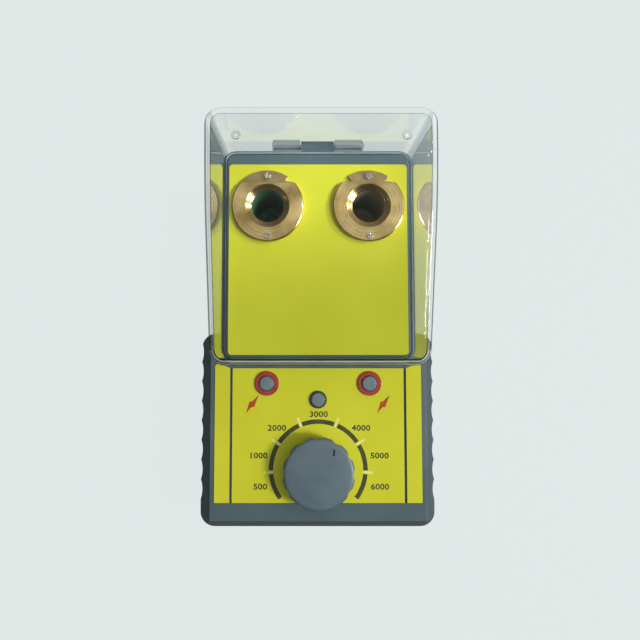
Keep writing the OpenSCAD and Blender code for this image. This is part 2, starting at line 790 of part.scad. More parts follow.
module lid_section(inset) {
  w = cover_w - 2 * inset + 2 * lid_bite;
  r = lid_r - inset;
  translate([-w / 2, -lid_depth]) square([w, lid_depth - r]);
  translate([-w / 2 + r, -lid_depth]) square([w - 2 * r, lid_depth]);
  for (sx = [-1, 1]) translate([sx * (w / 2 - r), -r]) circle(r);
}

// Everything under the lid: level at the rear, round the bend, then down the slope
module lid_volume(inset) translate([0, bend_y, lid_z - lid_bend_r]) {
  translate([0, 0, lid_bend_r - inset]) mirror([0, 1, 0]) rotate([90, 0, 0])
    linear_extrude(cover_len) lid_section(inset);
  rotate(180, [1, 0, 1]) rotate_extrude(angle = lid_slope, $fn = fine_sides)
    translate([lid_bend_r - inset, 0]) rotate(-90) lid_section(inset);
  rotate([lid_slope, 0, 0]) translate([0, 0, lid_bend_r - inset]) rotate([90, 0, 0])
    linear_extrude(cover_len) lid_section(inset);
}

// Side view of the cover, with its rear and front top edges rounded
module side_view(inset) {
  r = lid_r - inset;
  reach = 2 * lid_r;
  rear_centre = [cover_rear - lid_r, lid_z - lid_r];
  front_centre = [cover_front + lid_r, front_lid_z + lid_r * (tan(lid_slope) - 1 / cos(lid_slope))];
  difference() {
    translate([cover_front + inset, 0]) square([cover_len - 2 * inset, lid_z + over]);
    difference() {
      translate(rear_centre) square(reach);
      translate(rear_centre) circle(r);
    }
    difference() {
      translate(front_centre)
        polygon(reach * [[0, 0], [-sin(lid_slope), cos(lid_slope)], [-1, 1], [-1, 0]]);
      translate(front_centre) circle(r);
    }
  }
}

module cover_volume(inset) intersection() {
  translate([0, cover_mid, 0])
    rounded_block(cover_w - 2 * inset, cover_len - 2 * inset, cover_r - inset, lid_z + over);
  lid_volume(inset);
  rotate([90, 0, 90]) linear_extrude(cover_w + 2 * over, center = true) side_view(inset);
}

// Web and barrel of one cover knuckle: the web hangs down behind the case
module cover_knuckle() {
  root = cover_rear - cover_wall / 2;
  web_front = block_rear + hinge_gap;
  web_rear = hinge_y + knuckle_d / 2;
  web_top = face_z + web_rise;
  translate([knuckle_mid + knuckle_gap, 0, 0]) rotate([90, 0, 90])
    linear_extrude(hinge_half - knuckle_mid - knuckle_gap) {
      translate([hinge_y, hinge_z]) circle(d = knuckle_d);
      polygon([[root, rim_z], [web_front, rim_z], [web_front, hinge_z], [web_rear, hinge_z],
        [web_rear, hinge_z + knuckle_d / 2], [web_front, web_top], [root, web_top]]);
    }
}

module clear_cover() color(clear) difference() {
  union() {
    difference() {
      cover_volume(0);
      cover_volume(cover_wall);
      translate([-cover_w, cover_mid - cover_len, -over]) cube([2 * cover_w, 2 * cover_len, rim_z + over]);
    }
    mirrored_pair() cover_knuckle();
    mirrored_pair() translate([disc_x, cover_rear - disc_back, lid_z - cover_wall / 2])
      cylinder(h = disc_h + cover_wall / 2, d = disc_d);
  }
  translate([0, hinge_y, hinge_z]) rotate([0, 90, 0])
    cylinder(h = 2 * (hinge_half + over), d = pin_d + 2 * running_fit, center = true);
}

module hinge_pin() color(steel) translate([0, hinge_y, hinge_z]) rotate([0, 90, 0])
  cylinder(h = 2 * hinge_half, d = pin_d, center = true);

// Knob: a turned form with a round edge and a low crown
edge_steps = 6;
crown_steps = 6;

module knob_form() {
  top_r = knob_d / 2;
  e = knob_edge_r;
  flat_r = top_r - e;
  crown_r = (pow(flat_r, 2) + pow(knob_crown, 2)) / (2 * knob_crown);
  edge = [for (i = [0 : edge_steps - 1]) let (a = 90 * i / edge_steps)
    [flat_r + e * cos(a), knob_edge_z + e * sin(a)]];
  crown = [for (i = [0 : crown_steps]) let (x = flat_r * (1 - i / crown_steps))
    [x, knob_h - crown_r + sqrt(pow(crown_r, 2) - pow(x, 2))]];
  rotate_extrude($fn = fine_sides) polygon(concat([[0, 0], [knob_foot_r, 0]], edge, crown));
}

// The knob is hollow round a hub that holds the shaft
module knob_hollow() difference() {
  hub_low = bush_top + knob_gap - knob_z;
  translate([0, 0, -over]) cylinder(h = knob_h / 2 + over, d = knob_d - 2 * knob_wall);
  translate([0, 0, hub_low]) cylinder(h = knob_h, d = shaft_d + 2 * hub_wall);
}

module knob() color(knob_grey) translate([dial_at[0], dial_at[1], knob_z]) rotate(-knob_mark_deg)
difference() {
  knob_form();
  for (i = [0 : knob_flutes - 1]) rotate(flute_turn + i * 360 / knob_flutes)
    translate([0, knob_foot_r + flute_r - flute_depth, 0]) rotate([-atan(knob_undercut / knob_edge_z), 0, 0])
      translate([0, 0, -knob_h / 2]) cylinder(h = 2 * knob_h, r = flute_r);
  knob_hollow();
  translate([0, 0, -over]) cylinder(h = shaft_top - knob_z + over, d = shaft_d + 2 * fixed_fit);
  translate([0, knob_d / 2 - mark_in - mark_len / 2, knob_h - knob_crown - mark_depth]) rotate(mark_slant)
    translate([-mark_w / 2, -mark_len / 2, 0]) cube([mark_w, mark_len, knob_crown + mark_depth + over]);
}

// The shaft stands in the potentiometer's bush and carries the knob
module pot_shaft() color(steel) translate([dial_at[0], dial_at[1], pot_top - shaft_sink])
  cylinder(h = shaft_top - pot_top + shaft_sink, d = shaft_d);

// Potentiometer on the board, its bush through the control face
module pot_body() color(steel) translate(dial_at) difference() {
  union() {
    translate([0, 0, board_top]) cylinder(h = pot_h, d = pot_d);
    translate([0, 0, pot_top - join]) cylinder(h = bush_top - pot_top + join, d = pot_bush_d);
  }
  translate([0, 0, pot_top - shaft_sink - shaft_room]) cylinder(h = bush_top, d = shaft_d + 2 * running_fit);
}

module pot_nut() color(steel) translate([dial_at[0], dial_at[1], face_print]) difference() {
  cylinder(h = nut_t, d = nut_d, $fn = 6);
  translate([0, 0, -over]) cylinder(h = nut_t + 2 * over, d = pot_bush_d + 2 * fixed_fit);
}

// Bezels: a rim on the label and a sleeve through the control face
module bezel(rim_w, cap_d) difference() {
  union() {
    translate([0, 0, face_print]) cylinder(h = bezel_h, d = sleeve_d(cap_d) + 2 * rim_w);
    translate([0, 0, face_under]) cylinder(h = face_print - face_under + join, d = sleeve_d(cap_d));
  }
  translate([0, 0, face_under - over])
    cylinder(h = face_print - face_under + bezel_h + 2 * over, d = cap_d + 2 * press_gap);
}

module hv_bezel_left() color(red) translate(hv_left_at) bezel(hv_rim, hv_cap_d);

module hv_bezel_right() color(red) translate(hv_right_at) bezel(hv_rim, hv_cap_d);

module power_bezel() color(dark) translate(power_at) bezel(power_rim, power_cap_d);

// Buttons: a round cap, a flange that holds it in, and a stem on the switch's plunger
module press_button(cap_d) {
  top = face_print + bezel_h + press_travel + cap_rest;
  flange_top = face_under - press_gap;
  flange_low = flange_top - button_flange_t;
  translate([0, 0, flange_top - join]) cylinder(h = top - button_crown - flange_top + join, d = cap_d);
  translate([0, 0, top - button_crown])
    cylinder(h = button_crown, d1 = cap_d, d2 = cap_d - 2 * button_crown);
  translate([0, 0, flange_low]) cylinder(h = button_flange_t, d = cap_d + 2 * button_flange_w);
  translate([0, 0, switch_top]) cylinder(h = flange_low - switch_top + join, d = plunger_d);
}

module hv_button_left() color(knob_grey) translate(hv_left_at) press_button(hv_cap_d);

module hv_button_right() color(knob_grey) translate(hv_right_at) press_button(hv_cap_d);

module power_button() color(knob_grey) translate(power_at) press_button(power_cap_d);

// A plunger has room for the travel under it in its switch's well
module plunger() {
  low = well_floor + press_travel + press_gap;
  translate([0, 0, low]) cylinder(h = switch_top - low, d = plunger_d);
}

module hv_plunger_left() color(steel) translate(hv_left_at) plunger();

module hv_plunger_right() color(steel) translate(hv_right_at) plunger();

module power_plunger() color(steel) translate(power_at) plunger();

module push_switches() color(dark) for (p = [hv_left_at, hv_right_at, power_at]) translate(p)
difference() {
  translate([-switch_w / 2, -switch_w / 2, board_top]) cube([switch_w, switch_w, switch_h]);
  translate([0, 0, well_floor]) cylinder(h = switch_h, d = plunger_d + 2 * running_fit);
}

module control_board() color(board_green) difference() {
  translate([-board_w / 2, board_mid - board_len / 2, board_under]) cube([board_w, board_len, board_t]);
  at_board_posts() translate([0, 0, board_under - over])
    cylinder(h = board_t + 2 * over, d = board_screw_d + 2 * fixed_fit);
}

module board_screws() color(steel) at_board_posts() translate([0, 0, board_under]) mirror([0, 0, 1])
  slotted_screw(board_screw_d, board_screw_head_d, board_screw_head_h, board_screw_len);

// Coil block with two ears and two lead outlets
module coil_block() color(dark) difference() {
  union() {
    translate([0, coil_mid, floor_top]) rounded_block(coil_w, coil_len, coil_r, coil_h);
    translate([0, coil_mid, floor_top + ear_post_h]) {
      translate([-ear_x, -ear_w / 2, 0]) cube([2 * ear_x, ear_w, ear_t]);
      mirrored_pair() translate([ear_x, 0, 0]) cylinder(h = ear_t, d = ear_w);
    }
    mirrored_pair() translate([outlet_x, coil_rear - join, outlet_z]) rotate([-90, 0, 0])
      cylinder(h = outlet_len + join, d = outlet_d);
  }
  mirrored_pair() translate([ear_x, coil_mid, floor_top + ear_post_h - over])
    cylinder(h = ear_t + 2 * over, d = coil_screw_d + 2 * fixed_fit);
}

module coil_screws() color(steel) mirrored_pair() translate([ear_x, coil_mid, floor_top + ear_post_h + ear_t])
  slotted_screw(coil_screw_d, coil_screw_head_d, coil_screw_head_h, coil_screw_len);

// High voltage lead from the coil's outlet to the terminal's stud, straight for a share of each end
lead_rings = 14;
lead_sides = 8;
lead_straight = 0.2;
lead_start = coil_rear + outlet_len;
function ease(t) = t * t * (3 - 2 * t);
function lead_point(t) =
  let (s = ease(min(1, max(0, (t - lead_straight) / (1 - 2 * lead_straight)))))
  [outlet_x + (socket_x - outlet_x) * s, lead_start + (stud_end - lead_start) * t,
    outlet_z + (stud_z - outlet_z) * s];

module hv_lead() color(red)
  swept_tube([for (i = [0 : lead_rings]) lead_point(i / lead_rings)], lead_d / 2, lead_sides);

module hv_lead_left() mirror([1, 0, 0]) hv_lead();

module hv_lead_right() hv_lead();

module case_screws() color(steel) at_case_posts() translate([0, 0, head_seat]) mirror([0, 0, 1])
  slotted_screw(case_screw_d, case_screw_head_d, case_screw_head_h, case_screw_len);

module rubber_feet() color(dark) at_feet() cylinder(h = foot_gap + foot_recess, d = foot_d - 2 * fixed_fit);

module cord_bush() color(dark) translate([cord_x, block_rear, cord_z]) rotate([90, 0, 0]) difference() {
  union() {
    translate([0, 0, -bush_lip]) cylinder(h = bush_lip, d = bush_neck + 2 * bush_flange_w);
    translate([0, 0, -join]) cylinder(h = wall + 2 * join, d = bush_neck);
    translate([0, 0, wall]) cylinder(h = bush_lip, d = bush_neck + bush_flange_w);
  }
  translate([0, 0, -bush_lip - over]) cylinder(h = wall + 2 * (bush_lip + over), d = cord_bore);
}

bottom_shell();
top_shell();
socket_label();
control_label();
side_label_left();
side_label_right();
plug_ring_left();
plug_ring_right();
ring_screws();
socket_tube_left();
socket_tube_right();
contact_terminal_left();
contact_terminal_right();
contact_spring_left();
contact_spring_right();
clear_cover();
hinge_pin();
knob();
pot_shaft();
pot_body();
pot_nut();
hv_bezel_left();
hv_bezel_right();
hv_button_left();
hv_button_right();
hv_plunger_left();
hv_plunger_right();
power_bezel();
power_button();
power_plunger();
push_switches();
control_board();
board_screws();
coil_block();
coil_screws();
hv_lead_left();
hv_lead_right();
case_screws();
rubber_feet();
cord_bush();
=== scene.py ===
import json
from math import atan, cos, pi, radians, sin, tan

import bmesh
import bpy
from mathutils import Matrix, Vector

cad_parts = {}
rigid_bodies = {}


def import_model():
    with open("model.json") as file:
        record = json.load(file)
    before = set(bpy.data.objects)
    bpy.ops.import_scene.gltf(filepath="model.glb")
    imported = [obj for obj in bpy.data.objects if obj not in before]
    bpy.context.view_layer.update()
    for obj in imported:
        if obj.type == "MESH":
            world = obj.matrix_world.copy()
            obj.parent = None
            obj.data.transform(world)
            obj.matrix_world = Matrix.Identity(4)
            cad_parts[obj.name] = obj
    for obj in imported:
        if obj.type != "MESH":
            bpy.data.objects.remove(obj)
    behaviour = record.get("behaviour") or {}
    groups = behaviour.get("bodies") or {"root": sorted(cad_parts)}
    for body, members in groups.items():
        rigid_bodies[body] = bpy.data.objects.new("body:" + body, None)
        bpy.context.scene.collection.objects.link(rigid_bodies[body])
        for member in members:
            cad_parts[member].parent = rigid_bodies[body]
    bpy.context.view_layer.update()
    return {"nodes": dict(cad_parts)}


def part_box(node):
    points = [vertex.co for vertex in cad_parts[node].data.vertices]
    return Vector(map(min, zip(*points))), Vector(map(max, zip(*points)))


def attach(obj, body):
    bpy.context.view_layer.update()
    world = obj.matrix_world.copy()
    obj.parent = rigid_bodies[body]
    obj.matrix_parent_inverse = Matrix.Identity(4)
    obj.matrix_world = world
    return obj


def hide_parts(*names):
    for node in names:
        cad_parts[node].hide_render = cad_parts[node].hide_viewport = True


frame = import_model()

nodes = frame["nodes"]
print("frame loaded,", len(nodes), "nodes")


# node maths

class Wire:  # a socket in a node tree, so that sums of sockets read as sums
    def __init__(self, tree, socket=None):
        self.tree = tree
        self.socket = socket

    def node(self, kind, settings=None, sockets=None, out=0):
        made = self.tree.nodes.new(kind)
        for name, value in (settings or {}).items():
            setattr(made, name, value)
        for key, value in (sockets or {}).items():
            self.feed(made.inputs[key], value)
        return Wire(self.tree, made.outputs[out] if made.outputs else None)

    def feed(self, target, value):
        if isinstance(value, Wire):
            self.tree.links.new(value.socket, target)
        else:
            target.default_value = value

    def maths(self, operation, *values):
        return self.node("ShaderNodeMath", {"operation": operation}, dict(enumerate(values)))

    def __add__(self, other):
        return self.maths("ADD", self, other)

    __radd__ = __add__

    def __mul__(self, other):
        return self.maths("MULTIPLY", self, other)

    __rmul__ = __mul__

    def __sub__(self, other):
        return self.maths("SUBTRACT", self, other)

    def __rtruediv__(self, other):
        return self.maths("DIVIDE", other, self)

    def __gt__(self, other):
        return self.maths("GREATER_THAN", self, other)

    def __lt__(self, other):
        return self.maths("LESS_THAN", self, other)


def srgb(red, green, blue):  # a colour as seen on screen, 0 to 255
    def linear(c):
        c /= 255
        return c / 12.92 if c <= 0.04045 else ((c + 0.055) / 1.055) ** 2.4
    return linear(red), linear(green), linear(blue), 1.0


# materials

def blankMaterial(name):
    material = bpy.data.materials.new(name)
    material.use_nodes = True
    return material, Wire(material.node_tree), material.node_tree.nodes["Principled BSDF"]


def dress(wire, shader, values):
    for name, value in values.items():
        wire.feed(shader.inputs[name], value)


def objectPlace(wire):
    return wire.node("ShaderNodeTexCoord", out="Object")


def cloud(wire, place, scale, detail=2.0):
    return wire.node("ShaderNodeTexNoise", {}, {"Vector": place, "Scale": scale, "Detail": detail})


def between(wire, factor, first, second):
    return wire.node("ShaderNodeMix", {"data_type": "RGBA"}, {0: factor, 6: first, 7: second}, out=2)


noiseSpan = {  # the part of each noise that is stretched to 0..1
    "drift": (0.3, 0.7), "fleck": (0.35, 0.75), "film": (0.35, 0.65), "dots": (0.45, 0.8), "tarnish": (0.35, 0.7),
    "band": (0.35, 0.65), "stain": (0.3, 0.7), "haze": (0.5, 0.8)}
roughSwing = {  # how far each noise moves the roughness
    "drift": 0.08, "grain": 0.1, "film": 0.06, "tarnish": 0.06, "band": 0.1, "stain": 0.1, "haze": 0.03, "board": 0.1}
bumpStep = {"grain": 0.0001, "groove": 0.00005, "ripple": 0.0002, "track": 0.00003}  # metres for a height of 1
scratchLook = {"stretch": (1, 6, 1), "scale": 900.0, "depth": 0.12}


def spread(wire, factor, kind):
    low, high = noiseSpan[kind]
    return wire.node("ShaderNodeMapRange", {}, {0: factor, 1: low, 2: high, 3: 0.0, 4: 1.0})


def bumped(wire, height, strength, kind):
    return wire.node("ShaderNodeBump", {}, {"Strength": strength, "Distance": bumpStep[kind], "Height": height})


def mouldedPlastic(name, look):
    material, wire, shader = blankMaterial(name)
    place = objectPlace(wire)
    drift = spread(wire, cloud(wire, place, look["driftScale"], 4.0), "drift")
    grain = cloud(wire, place, look["grainScale"], 2.0)
    colour = between(wire, drift, look["dark"], look["light"])
    fleck = spread(wire, grain, "fleck") * look["fleck"]
    dress(wire, shader, {
        "Base Color": between(wire, fleck, colour, look["light"]),
        "Roughness": look["roughness"] + (drift - 0.5) * roughSwing["drift"] + (grain - 0.5) * roughSwing["grain"],
        "Specular IOR Level": look["gloss"],
        "Normal": bumped(wire, grain, look["grainDepth"], "grain")})
    return material


dotShare = 0.25  # how far the print's dots show


def printedFilm(name, look):
    material, wire, shader = blankMaterial(name)
    place = objectPlace(wire)
    drift = spread(wire, cloud(wire, place, look["driftScale"], 3.0), "film")
    dots = cloud(wire, place, look["dotScale"], 1.0)
    colour = between(wire, drift, look["dark"], look["light"])
    dress(wire, shader, {
        "Base Color": between(wire, spread(wire, dots, "dots") * dotShare, colour, look["dot"]),
        "Roughness": look["roughness"] + (drift - 0.5) * roughSwing["film"],
        "Specular IOR Level": look["gloss"],
        "Normal": bumped(wire, dots, look["peel"], "grain")})
    return material


def turnedMetal(name, look, centre):
    material, wire, shader = blankMaterial(name)
    place = objectPlace(wire)
    offset = wire.node("ShaderNodeVectorMath", {"operation": "SUBTRACT"}, {0: place, 1: (centre[0], centre[1], 0)})
    flat = wire.node("ShaderNodeVectorMath", {"operation": "MULTIPLY"}, {0: offset, 1: (1, 1, 0)})
    radius = wire.node("ShaderNodeVectorMath", {"operation": "LENGTH"}, {0: flat}, out="Value")
    groove, ridge = [
        wire.node("ShaderNodeTexNoise", {"noise_dimensions": "1D"}, {"W": radius, "Scale": look[key], "Detail": 2.0})
        for key in ("grooveScale", "ridgeScale")]
    stain = spread(wire, cloud(wire, place, look["stainScale"], 4.0), "tarnish")
    band = spread(wire, ridge, "band")
    colour = between(wire, stain, look["light"], look["dark"])
    dress(wire, shader, {
        "Base Color": between(wire, band * look["ridgeShare"], colour, look["dark"]),
        "Metallic": 1.0,
        "Roughness": look["roughness"] + stain * roughSwing["tarnish"] + (band - 0.5) * roughSwing["band"],
        "Anisotropic": look["anisotropy"],
        "Anisotropic Rotation": 0.25,
        "Normal": bumped(wire, groove + ridge, look["grooveDepth"], "groove")})
    return material


def plainMetal(name, look):
    material, wire, shader = blankMaterial(name)
    place = objectPlace(wire)
    stain = spread(wire, cloud(wire, place, look["stainScale"], 4.0), "stain")
    along = wire.node("ShaderNodeMapping", {}, {"Vector": place, "Scale": scratchLook["stretch"]})
    scratch = cloud(wire, along, scratchLook["scale"], 2.0)
    dress(wire, shader, {
        "Base Color": between(wire, stain, look["dark"], look["light"]),
        "Metallic": 1.0,
        "Roughness": look["roughness"] + stain * roughSwing["stain"],
        "Normal": bumped(wire, scratch, scratchLook["depth"], "groove")})
    return material


def clearMoulding(name, look):  # a thin skin that is seen straight through and mirrors more at a low angle; a fixed share of pale diffuse on top is a painted glint
    material, wire, shader = blankMaterial(name)
    tree = material.node_tree
    place = objectPlace(wire)
    haze = cloud(wire, place, look["hazeScale"], 3.0)
    ripple = cloud(wire, place, look["rippleScale"], 1.0)
    dress(wire, shader, {
        "Base Color": between(wire, haze, look["tint"], look["clear"]),
        "Metallic": 1.0,
        "Roughness": look["roughness"] + spread(wire, haze, "haze") * roughSwing["haze"],
        "Normal": bumped(wire, ripple, look["ripple"], "ripple")})
    facing = wire.node("ShaderNodeLayerWeight", {}, {"Blend": 0.5}, out="Facing")
    rise = wire.node("ShaderNodeMapRange", {"interpolation_type": "SMOOTHSTEP"},
                     {0: facing, 1: look["sheenFrom"], 2: look["sheenTo"], 3: look["headOn"], 4: look["grazing"]})
    outline = wire.maths("POWER", facing, look["edgePower"]) * look["edgeShare"]
    through = wire.node("ShaderNodeBsdfTransparent", {}, {"Color": look["through"]})
    dim = wire.node("ShaderNodeBsdfTransparent", {}, {"Color": look["edge"]})
    straight = wire.node("ShaderNodeMixShader", {}, {0: outline, 1: through, 2: dim})
    skin = wire.node("ShaderNodeMixShader", {}, {0: rise, 1: straight, 2: Wire(tree, shader.outputs[0])})
    # painted glint: pale diffuse mixed in at a fixed share, lit by the lamps like a matt surface
    paintedPale = wire.node("ShaderNodeBsdfDiffuse", {}, {"Color": look["clear"]})
    skin = wire.node("ShaderNodeMixShader", {}, {0: look["paintedGlintShare"], 1: skin, 2: paintedPale})
    shadow = wire.node("ShaderNodeLightPath", out="Is Shadow Ray")
    lit = wire.node("ShaderNodeBsdfTransparent", {}, {"Color": look["shadow"]})
    both = wire.node("ShaderNodeMixShader", {}, {0: shadow, 1: skin, 2: lit})
    wire.feed(tree.nodes["Material Output"].inputs["Surface"], both)
    return material


def circuitBoard(name, look):
    material, wire, shader = blankMaterial(name)
    place = objectPlace(wire)
    cells = wire.node("ShaderNodeTexVoronoi", {"feature": "DISTANCE_TO_EDGE"},
                      {"Vector": place, "Scale": look["cellScale"]})
    track = cells < look["trackWidth"]
    drift = cloud(wire, place, look["driftScale"], 3.0)
    mask = between(wire, drift, look["dark"], look["light"])
    dress(wire, shader, {
        "Base Color": between(wire, track * look["trackShare"], mask, look["track"]),
        "Roughness": look["roughness"] + drift * roughSwing["board"],
        "Normal": bumped(wire, track, look["trackDepth"], "track")})
    return material


casePlastic = mouldedPlastic("case_grey", {
    "dark": srgb(70, 89, 93), "light": srgb(84, 103, 108), "driftScale": 38.0,
    "grainScale": 4200.0, "grainDepth": 0.22, "fleck": 0.35, "roughness": 0.5, "gloss": 0.35})
# worn edges, rubbed glossier and painted lighter as a highlight
caseEdgeWearAndHighlight = mouldedPlastic("case_edge_wear_and_highlight", {
    "dark": srgb(92, 112, 116), "light": srgb(126, 146, 148), "driftScale": 90.0,
    "grainScale": 4200.0, "grainDepth": 0.08, "fleck": 0.4, "roughness": 0.34, "gloss": 0.5})
knobPlastic = mouldedPlastic("knob_grey", {
    "dark": srgb(84, 102, 109), "light": srgb(96, 114, 121), "driftScale": 120.0,
    "grainScale": 5200.0, "grainDepth": 0.18, "fleck": 0.3, "roughness": 0.5, "gloss": 0.4})
capPlastic = mouldedPlastic("button_grey", {
    "dark": srgb(98, 115, 118), "light": srgb(112, 128, 131), "driftScale": 260.0,
    "grainScale": 6000.0, "grainDepth": 0.12, "fleck": 0.25, "roughness": 0.42, "gloss": 0.45})
darkResin = mouldedPlastic("dark_resin", {
    "dark": srgb(34, 44, 38), "light": srgb(52, 62, 54), "driftScale": 120.0,
    "grainScale": 3800.0, "grainDepth": 0.2, "fleck": 0.2, "roughness": 0.45, "gloss": 0.45})
greenTube = mouldedPlastic("green_tube", {
    "dark": srgb(64, 110, 80), "light": srgb(88, 136, 102), "driftScale": 150.0,
    "grainScale": 3800.0, "grainDepth": 0.2, "fleck": 0.3, "roughness": 0.5, "gloss": 0.4})
brownTube = mouldedPlastic("brown_tube", {
    "dark": srgb(134, 127, 98), "light": srgb(158, 150, 118), "driftScale": 150.0,
    "grainScale": 3800.0, "grainDepth": 0.2, "fleck": 0.3, "roughness": 0.5, "gloss": 0.4})
# the bezel's edge faces painted darker as shade
redEdgePaintedShade = mouldedPlastic("bezel_edge_painted_shade", {
    "dark": srgb(84, 22, 20), "light": srgb(112, 32, 28), "driftScale": 240.0,
    "grainScale": 5000.0, "grainDepth": 0.08, "fleck": 0.2, "roughness": 0.3, "gloss": 0.5})
redPlastic = mouldedPlastic("bezel_red", {
    "dark": srgb(146, 40, 36), "light": srgb(170, 54, 46), "driftScale": 240.0,
    "grainScale": 5000.0, "grainDepth": 0.08, "fleck": 0.2, "roughness": 0.3, "gloss": 0.5})
footRubber = mouldedPlastic("foot_rubber", {
    "dark": srgb(34, 35, 36), "light": srgb(50, 51, 52), "driftScale": 140.0,
    "grainScale": 2600.0, "grainDepth": 0.35, "fleck": 0.3, "roughness": 0.75, "gloss": 0.3})
leadRubber = mouldedPlastic("lead_red", {
    "dark": srgb(140, 30, 28), "light": srgb(168, 44, 38), "driftScale": 160.0,
    "grainScale": 3000.0, "grainDepth": 0.15, "fleck": 0.2, "roughness": 0.55, "gloss": 0.35})
labelYellow = printedFilm("label_yellow", {
    "dark": srgb(203, 202, 32), "light": srgb(211, 210, 42), "dot": srgb(220, 219, 62),
    "driftScale": 30.0, "dotScale": 5200.0, "peel": 0.06, "roughness": 0.36, "gloss": 0.32})
darkInk = printedFilm("ink_dark", {
    "dark": srgb(60, 60, 26), "light": srgb(74, 74, 34), "dot": srgb(96, 96, 44),
    "driftScale": 300.0, "dotScale": 6000.0, "peel": 0.05, "roughness": 0.4, "gloss": 0.4})
redInk = printedFilm("ink_red", {
    "dark": srgb(166, 54, 18), "light": srgb(184, 66, 24), "dot": srgb(196, 86, 32),
    "driftScale": 300.0, "dotScale": 6000.0, "peel": 0.05, "roughness": 0.4, "gloss": 0.4})
paleInk = printedFilm("ink_pale", {
    "dark": srgb(228, 226, 132), "light": srgb(238, 236, 156), "dot": srgb(244, 242, 180),
    "driftScale": 300.0, "dotScale": 6000.0, "peel": 0.05, "roughness": 0.4, "gloss": 0.4})
steel = plainMetal("zinc_steel", {
    "dark": srgb(168, 170, 172), "light": srgb(206, 207, 208), "stainScale": 220.0, "roughness": 0.3})
screwSteel = plainMetal("screw_steel", {
    "dark": srgb(150, 142, 124), "light": srgb(206, 200, 186), "stainScale": 900.0, "roughness": 0.2})
greenContact = mouldedPlastic("contact_green", {
    "dark": srgb(104, 168, 128), "light": srgb(140, 200, 158), "driftScale": 220.0,
    "grainScale": 3000.0, "grainDepth": 0.3, "fleck": 0.4, "roughness": 0.6, "gloss": 0.4})
brownContact = mouldedPlastic("contact_brown", {
    "dark": srgb(196, 188, 150), "light": srgb(226, 216, 180), "driftScale": 220.0,
    "grainScale": 3000.0, "grainDepth": 0.3, "fleck": 0.4, "roughness": 0.6, "gloss": 0.4})
potSteel = plainMetal("pressed_steel", {
    "dark": srgb(150, 152, 150), "light": srgb(190, 191, 188), "stainScale": 90.0, "roughness": 0.38})
circuitGreen = circuitBoard("solder_resist", {
    "dark": srgb(20, 92, 52), "light": srgb(34, 118, 66), "track": srgb(70, 150, 92), "driftScale": 60.0,
    "cellScale": 260.0, "trackWidth": 0.06, "trackShare": 0.6, "trackDepth": 0.3, "roughness": 0.35})
coverLook = {
    "tint": (0.93, 0.965, 0.97, 1), "clear": (0.97, 0.99, 0.99, 1), "shadow": (0.92, 0.935, 0.935, 1),
    "through": (0.98, 0.99, 0.99, 1), "paintedGlintShare": 0.0, "hazeScale": 45.0, "rippleScale": 60.0, "ripple": 0.001,
    "roughness": 0.015}
outerLook = {
    **coverLook, "edge": (0.3, 0.4, 0.42, 1), "edgePower": 16.0, "edgeShare": 0.4,
    "sheenFrom": 0.7, "sheenTo": 1.0, "headOn": 0.008, "grazing": 0.5}
innerLook = {
    **coverLook, "tint": (0.68, 0.71, 0.7, 1), "clear": (0.76, 0.78, 0.77, 1),
    "edge": (0.16, 0.22, 0.24, 1), "edgePower": 13.0, "edgeShare": 0.9,
    "sheenFrom": 0.6, "sheenTo": 0.93, "headOn": 0.012, "grazing": 0.9}
# the line finishes are painted light and shade: darker see-through bands are painted shade lines, pale diffuse shares
# are painted glints, and the warm one is tinted as a painted reflection of the yellow label
coverSkins = {
    "outer": clearMoulding("cover_outer", outerLook),
    "inner": clearMoulding("cover_inner", innerLook),
    "innerPaintedShadeLine": clearMoulding("cover_inner_painted_shade_line", {**innerLook, "through": (0.42, 0.48, 0.5, 1)}),
    "dim": clearMoulding("cover_painted_dim_shade_line", {**outerLook, "through": (0.5, 0.54, 0.5, 1)}),
    "dark": clearMoulding("cover_painted_dark_shade_line", {**outerLook, "through": (0.32, 0.38, 0.41, 1)}),
    "paintedGlint": clearMoulding("cover_painted_glint", {**outerLook, "paintedGlintShare": 0.5}),
    "paintedWarmGlint": clearMoulding("cover_painted_warm_glint", {**outerLook, "paintedGlintShare": 0.42, "clear": (0.92, 0.87, 0.58, 1)}),
    "faintPaintedGlint": clearMoulding("cover_painted_faint_glint", {**outerLook, "paintedGlintShare": 0.2}),
    "corner": clearMoulding("cover_corner_painted_shade_and_glint", {**outerLook, "through": (0.78, 0.83, 0.84, 1), "paintedGlintShare": 0.05}),
    # knuckles: a darker see-through colour and a small painted sheen
    "knuckle": clearMoulding("cover_knuckle", {
        **outerLook, "through": (0.74, 0.8, 0.82, 1), "paintedGlintShare": 0.12, "grazing": 0.25, "roughness": 0.2})}
brassLook = {
    "light": srgb(238, 208, 142), "dark": srgb(152, 118, 64), "grooveScale": 4200.0, "grooveDepth": 0.36,
    "ridgeScale": 2000.0, "ridgeShare": 0.24, "stainScale": 90.0, "roughness": 0.25, "anisotropy": 0.8}
milledBrass = plainMetal("milled_brass", {
    "dark": srgb(150, 126, 80), "light": srgb(186, 160, 108), "stainScale": 240.0, "roughness": 0.36})
ringBox = {side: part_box("plug_ring_" + side) for side in ("left", "right")}
ringCentre = {side: (low + high) / 2 for side, (low, high) in ringBox.items()}
brass = {side: turnedMetal("brass_" + side, brassLook, ringCentre[side]) for side in ringCentre}
print("materials made,", len(bpy.data.materials))


# mesh tools

meshRules = {"mergeGap": 2e-6, "printGap": 1e-7, "flatAngle": 0.4, "bevelSteps": 2, "bevelAngle": 34}


def asPiece(name, mesh, material):
    mesh.name = name
    mesh.materials.clear()
    mesh.materials.append(material)
    piece = bpy.data.objects.new(name, mesh)
    bpy.context.scene.collection.objects.link(piece)
    return piece


def place(piece, body, slot, *stoodFor):
    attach(piece, body)
    if stoodFor:
        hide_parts(*stoodFor)
    return piece


